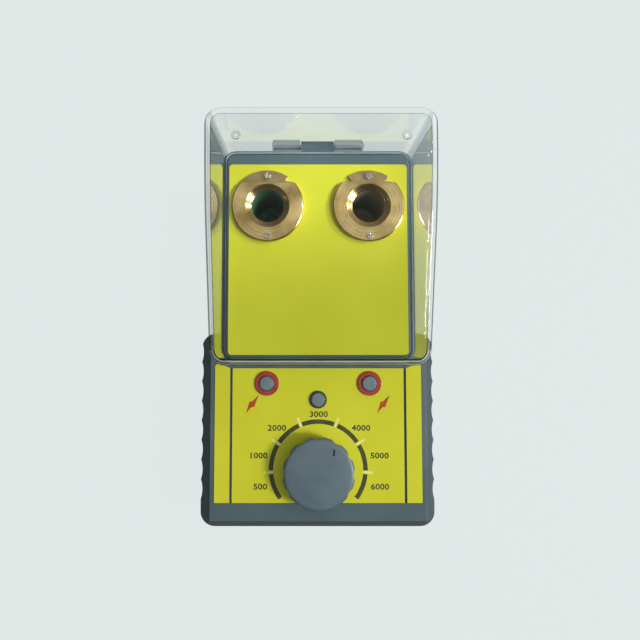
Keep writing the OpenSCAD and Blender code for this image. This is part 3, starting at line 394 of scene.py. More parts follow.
def settle(piece):  # the evaluated form becomes the piece's own mesh
    graph = bpy.context.evaluated_depsgraph_get()
    mesh = bpy.data.meshes.new_from_object(piece.evaluated_get(graph), preserve_all_data_layers=True, depsgraph=graph)
    piece.modifiers.clear()
    piece.data = mesh
    mesh.name = piece.name
    return piece


def smooth(mesh, angle=None):
    mesh.polygons.foreach_set("use_smooth", [True] * len(mesh.polygons))
    if angle is not None:
        mesh.set_sharp_from_angle(angle=radians(angle))
    mesh.update()


def mergedMesh(node):  # a CAD mesh is loose triangles, so its copy is merged and its flats are joined
    form = bmesh.new()
    form.from_mesh(nodes[node].data)
    bmesh.ops.remove_doubles(form, verts=form.verts, dist=meshRules["mergeGap"])
    flat = radians(meshRules["flatAngle"])
    bmesh.ops.dissolve_limit(form, angle_limit=flat, verts=form.verts, edges=form.edges)
    form.verts.index_update()
    mesh = bpy.data.meshes.new(node)
    mesh.from_pydata([v.co[:] for v in form.verts], [], [[v.index for v in f.verts] for f in form.faces])
    form.free()
    return mesh


def rounded(node, name, body, slot, material, width, edge=None, swell=1.0):
    piece = asPiece(name, mergedMesh(node), material)
    if swell != 1.0:  # a little wider or slimmer about its own upright axis
        low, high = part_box(node)
        middle = Matrix.Translation((low + high) / 2)
        piece.data.transform(middle @ Matrix.Diagonal((swell, swell, 1, 1)) @ middle.inverted())
    smooth(piece.data)
    bevel = piece.modifiers.new("edges", "BEVEL")
    bevel.width = width
    bevel.segments = meshRules["bevelSteps"]
    bevel.limit_method = "ANGLE"
    bevel.angle_limit = radians(meshRules["bevelAngle"])
    if edge:  # edge faces in a second finish: rubbed and painted lighter as a highlight, or painted darker as shade
        piece.data.materials.append(edge)
        bevel.material = 1
    piece.modifiers.new("shading", "WEIGHTED_NORMAL")
    return place(settle(piece), body, slot, node)


def formMesh(form, name, outward=True):  # a finished form as a mesh, its faces turned outward if need be
    if outward:
        bmesh.ops.recalc_face_normals(form, faces=form.faces)
    mesh = bpy.data.meshes.new(name)
    form.to_mesh(mesh)
    form.free()
    return mesh


def drawOut(form, faces, step):  # flat faces become a solid
    raised = bmesh.ops.extrude_face_region(form, geom=faces)["geom"]
    bmesh.ops.translate(form, verts=[g for g in raised if isinstance(g, bmesh.types.BMVert)], vec=step)


def plate(name, outlines, low, high, material):  # flat printed shapes with a little thickness
    form = bmesh.new()
    for outline in outlines:
        face = form.faces.new([form.verts.new((x, y, low)) for x, y in outline])
        drawOut(form, [face], (0, 0, high - low))
    return asPiece(name, formMesh(form, name), material)


def latheMesh(name, profile, top, around):  # a closed form turned round Z
    form = bmesh.new()
    turns = [2 * pi * i / around for i in range(around)]
    rings = [[form.verts.new((r * cos(a), r * sin(a), z)) for a in turns] for r, z in profile]
    ends = [(rings[0], form.verts.new((0, 0, profile[0][1]))), (rings[-1], form.verts.new((0, 0, top)))]
    for i in range(around):
        j = (i + 1) % around
        for lower, upper in zip(rings, rings[1:]):
            form.faces.new([lower[i], lower[j], upper[j], upper[i]])
        for ring, middle in ends:
            form.faces.new([ring[i], ring[j], middle])
    return formMesh(form, name)


# geometry trees

def newTree(name, sizeNames, finishName):  # a tree with named inputs; they are set by identifier
    tree = bpy.data.node_groups.new(name, "GeometryNodeTree")
    tree.interface.new_socket("Geometry", in_out="INPUT", socket_type="NodeSocketGeometry")
    kinds = {**{sizeName: "NodeSocketFloat" for sizeName in sizeNames}, finishName: "NodeSocketMaterial"}
    inputs = {key: tree.interface.new_socket(key, in_out="INPUT", socket_type=kind).identifier
              for key, kind in kinds.items()}
    tree.interface.new_socket("Geometry", in_out="OUTPUT", socket_type="NodeSocketGeometry")
    wire = Wire(tree)
    given = wire.node("NodeGroupInput").socket.node
    return tree, inputs, wire, {socket.name: Wire(tree, socket) for socket in given.outputs}


def endTree(wire, geometry, finish):
    whole = wire.node("GeometryNodeRealizeInstances", {}, {0: geometry})
    painted = wire.node("GeometryNodeSetMaterial", {}, {"Geometry": whole, "Material": finish})
    wire.node("NodeGroupOutput", {}, {0: painted})


def grow(piece, tree, inputs, values):
    modifier = piece.modifiers.new(tree.name, "NODES")
    modifier.node_group = tree
    for key, value in values.items():
        modifier[inputs[key]] = value
    return settle(piece)


# camera, floor and light

cameraView = {"place": (-0.00656, -0.00342, 0.3304), "tilt": 4.29, "sensor": 36, "lens": 36.62,
              "shift": (17 / 640, -29 / 640), "nearest": 0.01}
floorLook = {"size": 6.0, "colour": srgb(226, 232, 231), "bounce": (0.15, 0.155, 0.155, 1), "roughness": 0.9,
             "gloss": 0.1, "glow": 0.84, "level": 1.155, "mirrored": 0.12}
worldLook = {"colour": (0.95, 0.98, 1.0, 1), "towards": (0.3, 0.35, 0.887), "bright": 0.85, "dim": 0.06,
             "from": 0.4, "to": 0.95, "backdrop": srgb(226, 232, 231)}
lamps = {
    "key": {"kind": "AREA", "place": (0.52, -0.13, 0.74), "target": (0, 0, 0.04), "size": 0.16, "power": 4.6,
            "spread": True, "mirrored": False},
    "rear": {"kind": "SPOT", "place": (0.55, 0.2, 0.44), "target": (0, 0.07, 0.05), "size": 0.03, "power": 22.0,
             "cone": 7.0, "spread": True, "mirrored": True},
    "side": {"kind": "AREA", "place": (0.5, -0.09, 0.26), "target": (0.03, -0.06, 0.045), "size": 0.16, "power": 5.0,
             "spread": False, "mirrored": True}}  # seen only in gloss


def setCamera(view):
    camera = bpy.data.objects.new("camera", bpy.data.cameras.new("camera"))
    bpy.context.scene.collection.objects.link(camera)
    camera.location = view["place"]
    camera.rotation_euler = (radians(view["tilt"]), 0, 0)
    camera.data.sensor_width = view["sensor"]
    camera.data.lens = view["lens"]
    camera.data.shift_x, camera.data.shift_y = view["shift"]
    camera.data.clip_start = view["nearest"]
    bpy.context.scene.camera = camera


def setFloor(look):
    half = look["size"] / 2
    mesh = bpy.data.meshes.new("floor")
    mesh.from_pydata([(-half, -half, 0), (half, -half, 0), (half, half, 0), (-half, half, 0)], [], [(0, 1, 2, 3)])
    material, wire, shader = blankMaterial("floor_pale")
    tree = material.node_tree
    dress(wire, shader, {
        "Base Color": look["bounce"], "Roughness": look["roughness"], "Specular IOR Level": look["gloss"]})
    glow = wire.node("ShaderNodeEmission", {}, {"Color": look["colour"], "Strength": look["level"]})
    seen = wire.node("ShaderNodeLightPath", out="Is Camera Ray")
    mirrored = Wire(tree, seen.socket.node.outputs["Is Glossy Ray"]) * look["mirrored"]
    share = wire.maths("MAXIMUM", seen, mirrored) * look["glow"]
    both = wire.node("ShaderNodeMixShader", {}, {0: share, 1: Wire(tree, shader.outputs[0]), 2: glow})
    wire.feed(tree.nodes["Material Output"].inputs["Surface"], both)
    asPiece("floor", mesh, material)


def setWorld(look):  # brighter towards one side of the sky, and a plain pale backdrop to the eye
    world = bpy.data.worlds.new("studio")
    world.use_nodes = True
    tree = world.node_tree
    wire = Wire(tree)
    heading = wire.node("ShaderNodeTexCoord", out="Generated")
    along = wire.node("ShaderNodeVectorMath", {"operation": "DOT_PRODUCT"}, {0: heading, 1: look["towards"]},
                      out="Value")
    share = wire.node("ShaderNodeMapRange", {"interpolation_type": "SMOOTHSTEP"},
                      {0: along, 1: look["from"], 2: look["to"], 3: 0.0, 4: 1.0})
    low, high = [wire.node("ShaderNodeBackground", {}, {"Color": look["colour"], "Strength": look[name]})
                 for name in ("dim", "bright")]
    sky = wire.node("ShaderNodeMixShader", {}, {0: share, 1: low, 2: high})
    seen = wire.node("ShaderNodeLightPath", out="Is Camera Ray")
    backdrop = wire.node("ShaderNodeBackground", {}, {"Color": look["backdrop"], "Strength": 1.0})
    both = wire.node("ShaderNodeMixShader", {}, {0: seen, 1: sky, 2: backdrop})
    wire.feed(tree.nodes["World Output"].inputs["Surface"], both)
    bpy.context.scene.world = world


def setLamp(name, look):
    lamp = bpy.data.lights.new(name, look["kind"])
    lamp.energy = look["power"]
    if look["kind"] == "SPOT":
        lamp.shadow_soft_size = look["size"]
        lamp.spot_size = radians(look["cone"])
        lamp.spot_blend = 1.0
    else:
        lamp.size = look["size"]
    holder = bpy.data.objects.new(name, lamp)
    holder.location = look["place"]
    holder.visible_diffuse = look["spread"]
    holder.visible_glossy = look["mirrored"]
    aim = Vector(look["target"]) - Vector(look["place"])
    holder.rotation_euler = aim.to_track_quat("-Z", "Y").to_euler()
    bpy.context.scene.collection.objects.link(holder)


setCamera(cameraView)
setFloor(floorLook)
setWorld(worldLook)
for lampName, lampLook in lamps.items():
    setLamp(lampName, lampLook)
bpy.context.scene.view_settings.view_transform = "Standard"
print("camera, floor and lamps set")


# case

caseEdges = {"top": 0.00045, "bottom": 0.00045}
rounded("top_shell", "case_top", "case", "case_plastic", casePlastic, caseEdges["top"], caseEdgeWearAndHighlight)
rounded("bottom_shell", "case_bottom", "case", "case_plastic", casePlastic, caseEdges["bottom"])
print("case made")


# clear cover

coverShape = {
    "rear": 0.0803, "rim": 0.0443, "wall": 0.002, "planRadius": 0.006, "leastRadius": 0.0004, "edgeRadius": 0.005,
    "rimRound": 0.0005, "rimEase": 0.3, "frontTop": 0.0855, "level": 0.027, "bend": 0.13,
    "cornerSteps": 10, "edgeSteps": 10, "sideSteps": 40, "support": 0.0004, "paintedGlintFrom": 0.0486, "paintedGlintTo": 0.0502,
    "hingeInner": 0.0078, "hingeOuter": 0.0201, "hingeY": 0.0843, "hingeZ": 0.0382, "hingeSteps": 28,
    "knuckle": 0.0028, "pinHole": 0.0013, "webFront": 0.0815, "webTop": 0.052, "webLift": 0.0004,
    "discX": 0.0303, "discY": 0.0688, "discRadius": 0.0016, "discHeight": 0.0003, "discSteps": 32,
    "dishRadii": (0.58, 0.42), "dishLevel": 0.4, "sharpAngle": 28}
coverPaintedLines = {  # which patches, counted up from the rim, carry a painted line: painted shade lines and painted glints for the light and shade seen in the clear walls
    "wallEnd": 5, "sidePaintedDark": (6, 7, 8), "sidePaintedFaint": (10,), "frontPaintedDim": (5, 6, 7, 9, 11), "frontPaintedPale": (8, 10),
    "paintedWarmShare": 0.3, "innerPaintedDark": (6, 7, 8), "innerPaintedPale": (2,),
    "rim": ("paintedGlint", "paintedGlint", "dim", "paintedGlint", "paintedGlint"), "disc": ("dark", "dark", "paintedGlint", "dark", "dark", "paintedGlint")}


def lidHeight(y, shape, front, top):  # level at the rear, round the bend, then down the slope
    crease = shape["rear"] - shape["level"]
    slope = atan((top - shape["frontTop"]) / (crease - front))
    bendStart = crease + shape["bend"] * tan(slope / 2)
    bendEnd = bendStart - shape["bend"] * sin(slope)
    if y >= bendStart:
        return top
    if y >= bendEnd:
        return top - shape["bend"] + (shape["bend"] ** 2 - (bendStart - y) ** 2) ** 0.5
    return top - shape["bend"] * (1 - cos(slope)) - (bendEnd - y) * tan(slope)


def coverLoop(inset, shape, front, halfWidth):  # the cover's plan, up its right half and down its left
    radius = max(shape["planRadius"] - inset, shape["leastRadius"])
    right, low, high = halfWidth - inset, front + inset, shape["rear"] - inset
    steps = shape["cornerSteps"]
    arc = [radians(90 * i / steps) for i in range(steps + 1)]
    points = [(right - radius + radius * sin(a), low + radius - radius * cos(a)) for a in arc]
    start, end = low + radius, high - radius
    sides = [start + shape["support"]]
    sides += [start + (end - start) * i / shape["sideSteps"] for i in range(1, shape["sideSteps"])]
    sides += [end - shape["support"]]
    points += [(right, y) for y in sides]
    points += [(right - radius + radius * cos(a), high - radius + radius * sin(a)) for a in arc]
    return points + [(-x, y) for x, y in reversed(points)]


def outerKind(shape, lines, level, step, last):  # finish of a patch of the outer skin, painted shade and glint lines included; step runs from front to rear
    corner = shape["cornerSteps"]
    rear = last - corner
    if level < lines["wallEnd"]:
        middle = step if step < corner else step - rear
        return "corner" if abs(middle - corner / 2 + 0.5) < 1 else "outer"
    if step >= rear + corner / 2:
        return "outer"
    if step >= corner:  # a painted dark shade line and a faint painted glint along each side
        return "dark" if level in lines["sidePaintedDark"] else "faintPaintedGlint" if level in lines["sidePaintedFaint"] else "outer"
    if level in lines["frontPaintedDim"]:  # thin painted shade and glint lines along the front, the glints whitest round its corners
        return "dim"
    paintedPale = "paintedWarmGlint" if step < corner * lines["paintedWarmShare"] else "paintedGlint"
    return paintedPale if level in lines["frontPaintedPale"] else "outer"


# painted shade lines near the inner skin's edge, and a painted glint band at the deck's height
def innerKind(lines, level):
    return "innerPaintedShadeLine" if level in lines["innerPaintedDark"] else "paintedGlint" if level in lines["innerPaintedPale"] else "inner"


def coverSkin(form, kinds, shape, lines, front, halfWidth, top, inset, flip):  # one skin, from rim to lid
    edge = shape["edgeRadius"] - inset
    lidTop = top - inset
    faces = []
    rimUp = shape["rim"] + shape["rimRound"]
    # the band between these two heights on the inner skin takes a painted glint
    levels = [(inset, z, None) for z in (rimUp, rimUp + shape["support"], shape["paintedGlintFrom"], shape["paintedGlintTo"])]
    levels.append((inset, None, edge + shape["support"]))
    for i in range(shape["edgeSteps"] + 1):
        a = radians(90 * i / shape["edgeSteps"])
        levels.append((inset + edge * (1 - cos(a)), None, edge * (1 - sin(a))))
    levels.append((inset + edge + shape["support"], None, 0.0))
    rings = []
    for ringInset, fixedZ, drop in levels:
        loop = coverLoop(ringInset, shape, front, halfWidth)
        heights = [fixedZ if fixedZ is not None else lidHeight(y, shape, front, lidTop) - drop for x, y in loop]
        rings.append([form.verts.new((x, y, z)) for (x, y), z in zip(loop, heights)])
    count = len(rings[0])
    last = count // 2 - 1
    for level, (lower, upper) in enumerate(zip(rings, rings[1:])):
        for i in range(count):
            j = (i + 1) % count
            step = i if i <= last else count - 2 - i
            kinds.append(innerKind(lines, level) if flip else outerKind(shape, lines, level, step, last))
            faces.append([lower[i], lower[j], upper[j], upper[i]])
    lid = rings[-1]
    for i in range(last):
        kinds.append("inner" if flip else "outer")
        faces.append([lid[i], lid[i + 1], lid[count - 2 - i], lid[count - 1 - i]])
    for corners in faces:
        form.faces.new(corners[::-1] if flip else corners)
    return rings[0]


def coverRim(form, kinds, shape, lines, front, halfWidth, outer, inner):  # rounded foot between the two skins, its rounded edges given painted glints and its flat a painted shade line
    r, wall = shape["rimRound"], shape["wall"]
    ease = shape["rimEase"] * r
    loops = [outer]
    for inset, rise in ((ease, ease), (r, 0.0), (wall - r, 0.0), (wall - ease, ease)):
        loop = coverLoop(inset, shape, front, halfWidth)
        loops.append([form.verts.new((x, y, shape["rim"] + rise)) for x, y in loop])
    loops.append(inner)
    count = len(outer)
    for upper, lower, kind in zip(loops, loops[1:], lines["rim"]):
        for i in range(count):
            j = (i + 1) % count
            kinds.append(kind)
            form.faces.new([upper[j], upper[i], lower[i], lower[j]])


def knuckleProfile(shape):  # web and barrel of a knuckle, seen along the pin
    y, z, r, steps = shape["hingeY"], shape["hingeZ"], shape["knuckle"], shape["hingeSteps"]
    root = shape["rear"] - shape["wall"] / 2
    webFoot = shape["rim"] + shape["webLift"]
    outline = [(root, webFoot), (shape["webFront"], webFoot)]
    outline += [(y + r * cos(a), z + r * sin(a)) for a in [pi + pi * i / steps for i in range(steps + 1)]]
    outline += [(y + r, z + r), (shape["webFront"], shape["webTop"]), (root, shape["webTop"])]
    hole = [(y + shape["pinHole"] * cos(2 * pi * i / steps), z + shape["pinHole"] * sin(2 * pi * i / steps))
            for i in range(steps)]
    return outline, hole


def knuckleMesh(shape, side):
    outline, hole = knuckleProfile(shape)
    form = bmesh.new()
    edges = []
    for loop in (outline, hole):
        verts = [form.verts.new((side * shape["hingeInner"], y, z)) for y, z in loop]
        edges += [form.edges.new((verts[i], verts[(i + 1) % len(verts)])) for i in range(len(verts))]
    bmesh.ops.triangle_fill(form, edges=edges, use_beauty=True)
    drawOut(form, form.faces[:], (side * (shape["hingeOuter"] - shape["hingeInner"]), 0, 0))
    return formMesh(form, "knuckle")


def discMesh(shape, lines, side, lidZ):  # a low moulded disc with a dished middle, its rings given painted shade and painted glints
    r, h = shape["discRadius"], shape["discHeight"]
    wide, narrow = shape["dishRadii"]
    floorZ = shape["dishLevel"] * h
    profile = [(r, -shape["wall"] / 2), (r, 0), (r - h, h), (wide * r, h), (narrow * r, floorZ)]
    mesh = latheMesh("disc", profile, floorZ, shape["discSteps"])
    mesh.transform(Matrix.Translation((side * shape["discX"], shape["discY"], lidZ)))
    return mesh, list(lines["disc"]) * shape["discSteps"]


def giveSkins(piece, kinds):  # each face's finish
    names = list(coverSkins)
    piece.data.materials.clear()
    for skin in coverSkins.values():
        piece.data.materials.append(skin)
    piece.data.polygons.foreach_set("material_index", [names.index(kind) for kind in kinds])


def makeCover(shape, lines):
    low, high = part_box("clear_cover")
    lidTop = high.z - shape["discHeight"]
    form = bmesh.new()
    kinds = []
    outer = coverSkin(form, kinds, shape, lines, low.y, high.x, lidTop, 0.0, False)
    inner = coverSkin(form, kinds, shape, lines, low.y, high.x, lidTop, shape["wall"], True)
    coverRim(form, kinds, shape, lines, low.y, high.x, outer, inner)
    piece = asPiece("cover_clear", formMesh(form, "cover", False), coverSkins["outer"])
    giveSkins(piece, kinds)
    added = []
    for side in (-1, 1):
        knuckle = knuckleMesh(shape, side)
        added.append((knuckle, ["knuckle"] * len(knuckle.polygons)))
        added.append(discMesh(shape, lines, side, lidHeight(shape["discY"], shape, low.y, lidTop)))
    for i, (extra, extraKinds) in enumerate(added):
        tool = asPiece("tool_%d" % i, extra, coverSkins["outer"])
        giveSkins(tool, extraKinds)
        join = piece.modifiers.new("join_%d" % i, "BOOLEAN")
        join.operation = "UNION"
        join.solver = "EXACT"
        join.object = tool
    settle(piece)
    for i in range(len(added)):
        bpy.data.objects.remove(bpy.data.objects["tool_%d" % i])
    smooth(piece.data, shape["sharpAngle"])
    return place(piece, "cover", "clear_plastic", "clear_cover")


makeCover(coverShape, coverPaintedLines)
print("cover made")


# knob

knobShape = {
    "radius": 0.0152, "undercut": 0.0013, "edge": 0.0022, "crown": 0.0009, "around": 360, "sharpAngle": 40,
    "footShares": (0.25, 0.6), "footInset": 0.0012, "footEdge": 0.0003, "sideSteps": 12, "edgeSteps": 14,
    "crownSteps": 12, "crownTilt": 0.14, "flutes": 12, "fluteRadius": 0.003, "fluteDepth": 0.001, "fluteTurn": 4.0,
    "markTurn": 34.5, "markSlant": 30.0, "markMiddle": 0.0111, "markLength": 0.0027, "markWidth": 0.0008,
    "markDepth": 0.0006, "markTool": 0.003, "markSteps": 8}
fluteEase = {"mouth": 0.3, "floor": 0.2, "inward": 0.7}  # two shares of a flute's depth, one of the foot's radius


def knobProfile(shape, height):  # radius and height, from the foot's middle round to the crown
    radius, foot = shape["radius"], shape["radius"] - shape["undercut"]
    flat = radius - shape["edge"]
    shoulder = height - shape["crown"] - shape["edge"]
    ease, sides, edges, rings = shape["footEdge"], shape["sideSteps"], shape["edgeSteps"], shape["crownSteps"]
    points = [(foot * share, 0.0) for share in shape["footShares"]]
    points += [(foot - shape["footInset"], 0.0), (foot - ease, 0.0), (foot, ease)]
    points += [(foot + shape["undercut"] * i / sides, ease + (shoulder - ease) * i / sides)
               for i in range(1, sides + 1)]
    turn = pi / 2 - shape["crownTilt"]  # the round edge ends at the crown's own slope
    points += [(flat + shape["edge"] * cos(a), shoulder + shape["edge"] * sin(a))
               for a in [turn * i / edges for i in range(1, edges + 1)]]
    r, z = points[-1]
    points += [(r * (1 - i / rings), z + (height - z) * (1 - (1 - i / rings) ** 2)) for i in range(1, rings)]
    return points


def fluteTree():
    tree, inputs, wire, size = newTree(
        "knob_flutes", ("Flutes", "Flute Radius", "Flute Depth", "Flute Turn", "Foot Radius", "Side Slope"), "Finish")
    spot = wire.node("GeometryNodeInputPosition")
    x, y, z = [wire.node("ShaderNodeSeparateXYZ", {}, {0: spot}, out=i) for i in range(3)]
    turn = wire.maths("ARCTAN2", y, x) - size["Flute Turn"]
    pitch = 2 * pi / size["Flutes"]
    radius = wire.maths("SQRT", x * x + y * y)
    side = size["Foot Radius"] + z * size["Side Slope"]
    across = wire.maths("WRAP", turn, pitch * 0.5, pitch * -0.5) * side
    under = wire.maths("MAXIMUM", size["Flute Radius"] * size["Flute Radius"] - across * across, 0.0)
    cut = wire.maths("SQRT", under) - (size["Flute Radius"] - size["Flute Depth"])
    soft = wire.maths("SMOOTH_MAX", cut, 0.0, size["Flute Depth"] * fluteEase["mouth"])
    share = wire.maths("SMOOTH_MAX", radius - side + soft, 0.0, size["Flute Depth"] * fluteEase["floor"])
    share = share * (radius > size["Foot Radius"] * fluteEase["inward"])
    inward = wire.node("ShaderNodeVectorMath", {"operation": "NORMALIZE"},
                       {0: wire.node("ShaderNodeCombineXYZ", {}, {0: x, 1: y})})
    step = wire.node("ShaderNodeVectorMath", {"operation": "SCALE"}, {0: inward, "Scale": share * -1})
    moved = wire.node("GeometryNodeSetPosition", {}, {"Geometry": size["Geometry"], "Offset": step})
    endTree(wire, moved, size["Finish"])
    return tree, inputs


def barOutline(length, width, steps):  # a bar with round ends, along X from its outer end
    r = width / 2
    near = [(-length + r - r * sin(a), r * cos(a)) for a in [pi * i / steps for i in range(steps + 1)]]
    far = [(-r + r * sin(a), -r * cos(a)) for a in [pi * i / steps for i in range(steps + 1)]]
    return far + near


def makeKnob(shape):
    low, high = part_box("knob")
    height = high.z - low.z
    turned = latheMesh("speed_knob", knobProfile(shape, height), height, shape["around"])
    piece = asPiece("speed_knob", turned, knobPlastic)
    tree, inputs = fluteTree()
    grow(piece, tree, inputs, {
        "Flutes": float(shape["flutes"]), "Flute Radius": shape["fluteRadius"], "Flute Depth": shape["fluteDepth"],
        "Flute Turn": radians(90 - shape["markTurn"] + shape["fluteTurn"]),
        "Foot Radius": shape["radius"] - shape["undercut"],
        "Side Slope": shape["undercut"] / (height - shape["crown"] - shape["edge"]), "Finish": knobPlastic})
    outline = barOutline(shape["markLength"], shape["markWidth"], shape["markSteps"])
    bar = plate("mark_tool", [outline], 0, shape["markTool"], darkInk)
    floorZ = height - shape["crown"] - shape["markDepth"]
    bar.data.transform(Matrix.Rotation(radians(90 - shape["markTurn"]), 4, "Z")
                       @ Matrix.Translation((shape["markMiddle"], 0, floorZ))
                       @ Matrix.Rotation(radians(shape["markSlant"]), 4, "Z")
                       @ Matrix.Translation((shape["markLength"] / 2, 0, 0)))
    cut = piece.modifiers.new("mark", "BOOLEAN")
    cut.operation = "DIFFERENCE"
    cut.solver = "EXACT"
    cut.material_mode = "TRANSFER"
    cut.object = bar
    settle(piece)
    bpy.data.objects.remove(bar)
    piece.data.transform(Matrix.Translation((dialPrint["centre"][0], dialPrint["centre"][1], low.z)))
    smooth(piece.data, shape["sharpAngle"])
    return place(piece, "dial", "knob_plastic", "knob")


# dial print

dialPrint = {
    "centre": (0.0, -0.0592), "radius": 0.0204, "band": 0.00195, "gap": 2.2, "thick": 0.00004,
    "ends": (-126.5, -93.4, -57.6, -22.0, 22.0, 57.6, 93.4, 126.5), "arcStep": 2.0, "leastSteps": 4,
    "tickRadius": 0.0216, "tickLength": 0.0041, "tickWidth": 0.0009, "tickRise": 1.5,
    "figureHeight": 0.00255, "figureBold": 0.0001, "figureStretch": 1.12, "figureSpacing": 1.08, "figureShare": 0.7,
    "figures": {"500": (-0.0250, -0.0073), "1000": (-0.0259, 0.0059), "2000": (-0.0179, 0.0177),
                "3000": (0.0002, 0.0236), "4000": (0.0186, 0.0177), "5000": (0.0265, 0.0059),
                "6000": (0.0266, -0.0073)},
    "bolt": (  # in millimetres
        (2.81, 4.04), (0.18, 1.65), (-0.31, 1.08), (-1.13, 1.41), (-1.87, -1.06), (-2.78, -4.02),
        (-1.38, -2.21), (-0.14, -1.06), (0.84, -1.22), (1.66, 1.24)),
    "bolts": ((-0.0286, -0.0314), (0.0284, -0.0314))}


def bandTree():  # a flat printed band along each line of a mesh
    tree, inputs, wire, size = newTree("printed_band", ("Band Width", "Band Thickness"), "Ink")
    line = wire.node("GeometryNodeMeshToCurve", {}, {"Mesh": size["Geometry"]})
    level = wire.node("GeometryNodeSetCurveNormal", {"mode": "Z_UP"}, {"Curve": line})
    section = wire.node("GeometryNodeCurvePrimitiveQuadrilateral", {},
                        {"Width": size["Band Width"], "Height": size["Band Thickness"]})
    band = wire.node("GeometryNodeCurveToMesh", {}, {"Curve": level, "Profile Curve": section, "Fill Caps": True})
    flat = wire.node("GeometryNodeSetShadeSmooth", {}, {"Geometry": band, "Shade Smooth": False})
    endTree(wire, flat, size["Ink"])
    return tree, inputs


def printedLines(name, lines, height, width, thick, ink, tree, inputs):
    verts, edges = [], []
    for line in lines:
        edges += [(len(verts) + i, len(verts) + i + 1) for i in range(len(line) - 1)]
        verts += [(x, y, height) for x, y in line]
    mesh = bpy.data.meshes.new(name)
    mesh.from_pydata(verts, edges, [])
    piece = grow(asPiece(name, mesh, ink), tree, inputs, {"Band Width": width, "Band Thickness": thick, "Ink": ink})
    return place(piece, "case", "label_yellow")


def dialPoint(look, turn, radius):  # turn is clockwise from the rear
    return look["centre"][0] + radius * sin(radians(turn)), look["centre"][1] + radius * cos(radians(turn))


def figureMesh(text, look):
    curve = bpy.data.curves.new("figure", "FONT")
    curve.body = text
    curve.align_x = "CENTER"
    curve.align_y = "CENTER"
    curve.extrude = 0.5
    curve.space_character = look["figureSpacing"]
    curve.offset = look["figureBold"] / look["figureHeight"] * look["figureShare"]
    holder = bpy.data.objects.new("figure", curve)
    bpy.context.scene.collection.objects.link(holder)
    graph = bpy.context.evaluated_depsgraph_get()
    mesh = bpy.data.meshes.new_from_object(holder.evaluated_get(graph))
    bpy.data.objects.remove(holder)
    ys = [v.co.y for v in mesh.vertices]
    scale = look["figureHeight"] / (max(ys) - min(ys))
    mesh.transform(Matrix.Diagonal((scale * look["figureStretch"], scale, look["thick"], 1))
                   @ Matrix.Translation((0, -(max(ys) + min(ys)) / 2, 0)))
    return mesh


def makeFigures(look, top):
    form = bmesh.new()
    for text, (x, y) in look["figures"].items():
        mesh = figureMesh(text, look)
        mesh.transform(Matrix.Translation((look["centre"][0] + x, look["centre"][1] + y, top)))
        form.from_mesh(mesh)
    bmesh.ops.remove_doubles(form, verts=form.verts, dist=meshRules["printGap"])
    mesh = formMesh(form, "dial_figures", False)
    return place(asPiece("dial_figures", mesh, darkInk), "case", "label_yellow")


def makeDial(look):
    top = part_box("control_label")[1].z
    tree, inputs = bandTree()
    arcs = []
    for i, (first, last) in enumerate(zip(look["ends"], look["ends"][1:])):
        first += look["gap"] if i else 0  # bare yellow on each side of a tick
        last -= look["gap"] if i + 2 < len(look["ends"]) else 0
        steps = max(look["leastSteps"], round((last - first) / look["arcStep"]))
        arcs.append([dialPoint(look, first + (last - first) * n / steps, look["radius"]) for n in range(steps + 1)])
    printedLines("dial_bands", arcs, top, look["band"], look["thick"], darkInk, tree, inputs)
    reach = look["tickLength"] / 2
    ticks = [[dialPoint(look, turn, look["tickRadius"] + step) for step in (-reach, reach)]
             for turn in look["ends"][1:-1]]
    printedLines("dial_ticks", ticks, top, look["tickWidth"], look["thick"] * look["tickRise"], paleInk, tree, inputs)
    makeFigures(look, top)
    bolts = [[(x + u / 1000, y + v / 1000) for u, v in look["bolt"]] for x, y in look["bolts"]]
    place(plate("spark_signs", bolts, top - look["thick"], top + look["thick"], redInk), "case", "label_yellow")


makeDial(dialPrint)
makeKnob(knobShape)
print("dial printed and knob made")


# sockets, buttons and what is inside

flatRule = {"drop": 0.001, "upright": 0.98, "near": 0.00005}


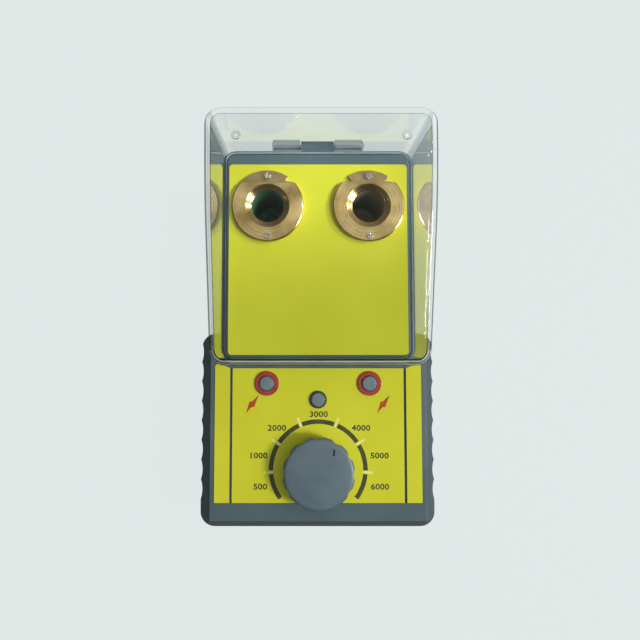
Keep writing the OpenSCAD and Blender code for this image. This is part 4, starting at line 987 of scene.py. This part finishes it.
def millFlat(piece, rule):  # the lower flat is milled, not turned
    piece.data.materials.append(milledBrass)
    flatZ = max(v.co.z for v in piece.data.vertices) - rule["drop"]
    for face in piece.data.polygons:
        if face.normal.z > rule["upright"] and abs(face.center.z - flatZ) < rule["near"]:
            face.material_index = 1


swells = {"cap": 1.09, "darkBezel": 0.96}
softEdges = {"ring": 0.00018, "button": 0.0003, "bezel": 0.0002, "redBezel": 0.0004, "ringScrew": 0.00022}
for side in ("left", "right"):
    ring = rounded("plug_ring_" + side, "ring_" + side, "case", "turned_brass", brass[side], softEdges["ring"])
    millFlat(ring, flatRule)
    rounded("hv_bezel_" + side, "red_bezel_" + side, "case", "red_plastic", redPlastic, softEdges["redBezel"], redEdgePaintedShade)
    rounded("hv_button_" + side, "firing_cap_" + side, "hv_" + side, "knob_plastic", capPlastic, softEdges["button"],
            swell=swells["cap"])
rounded("ring_screws", "ring_screw_heads", "case", "steel", screwSteel, softEdges["ringScrew"])
rounded("power_bezel", "dark_bezel", "case", "insulator", darkResin, softEdges["bezel"], swell=swells["darkBezel"])
rounded("power_button", "power_cap", "power", "knob_plastic", capPlastic, softEdges["button"], swell=swells["cap"])

nodeFinish = {
    "socket_label": labelYellow, "control_label": labelYellow, "side_label_left": labelYellow,
    "side_label_right": labelYellow, "socket_tube_left": greenTube, "socket_tube_right": brownTube,
    "contact_terminal_left": greenContact, "contact_terminal_right": brownContact,
    "contact_spring_left": greenContact, "contact_spring_right": brownContact, "hinge_pin": steel, "pot_shaft": steel,
    "pot_body": potSteel, "pot_nut": steel, "hv_plunger_left": steel, "hv_plunger_right": steel,
    "power_plunger": steel, "push_switches": darkResin, "control_board": circuitGreen, "board_screws": steel,
    "coil_block": darkResin, "coil_screws": steel, "hv_lead_left": leadRubber, "hv_lead_right": leadRubber,
    "case_screws": steel, "rubber_feet": footRubber, "cord_bush": footRubber}
for nodeName, finish in nodeFinish.items():
    nodes[nodeName].data.materials.clear()
    nodes[nodeName].data.materials.append(finish)
print("finishes given to", len(nodeFinish), "nodes")
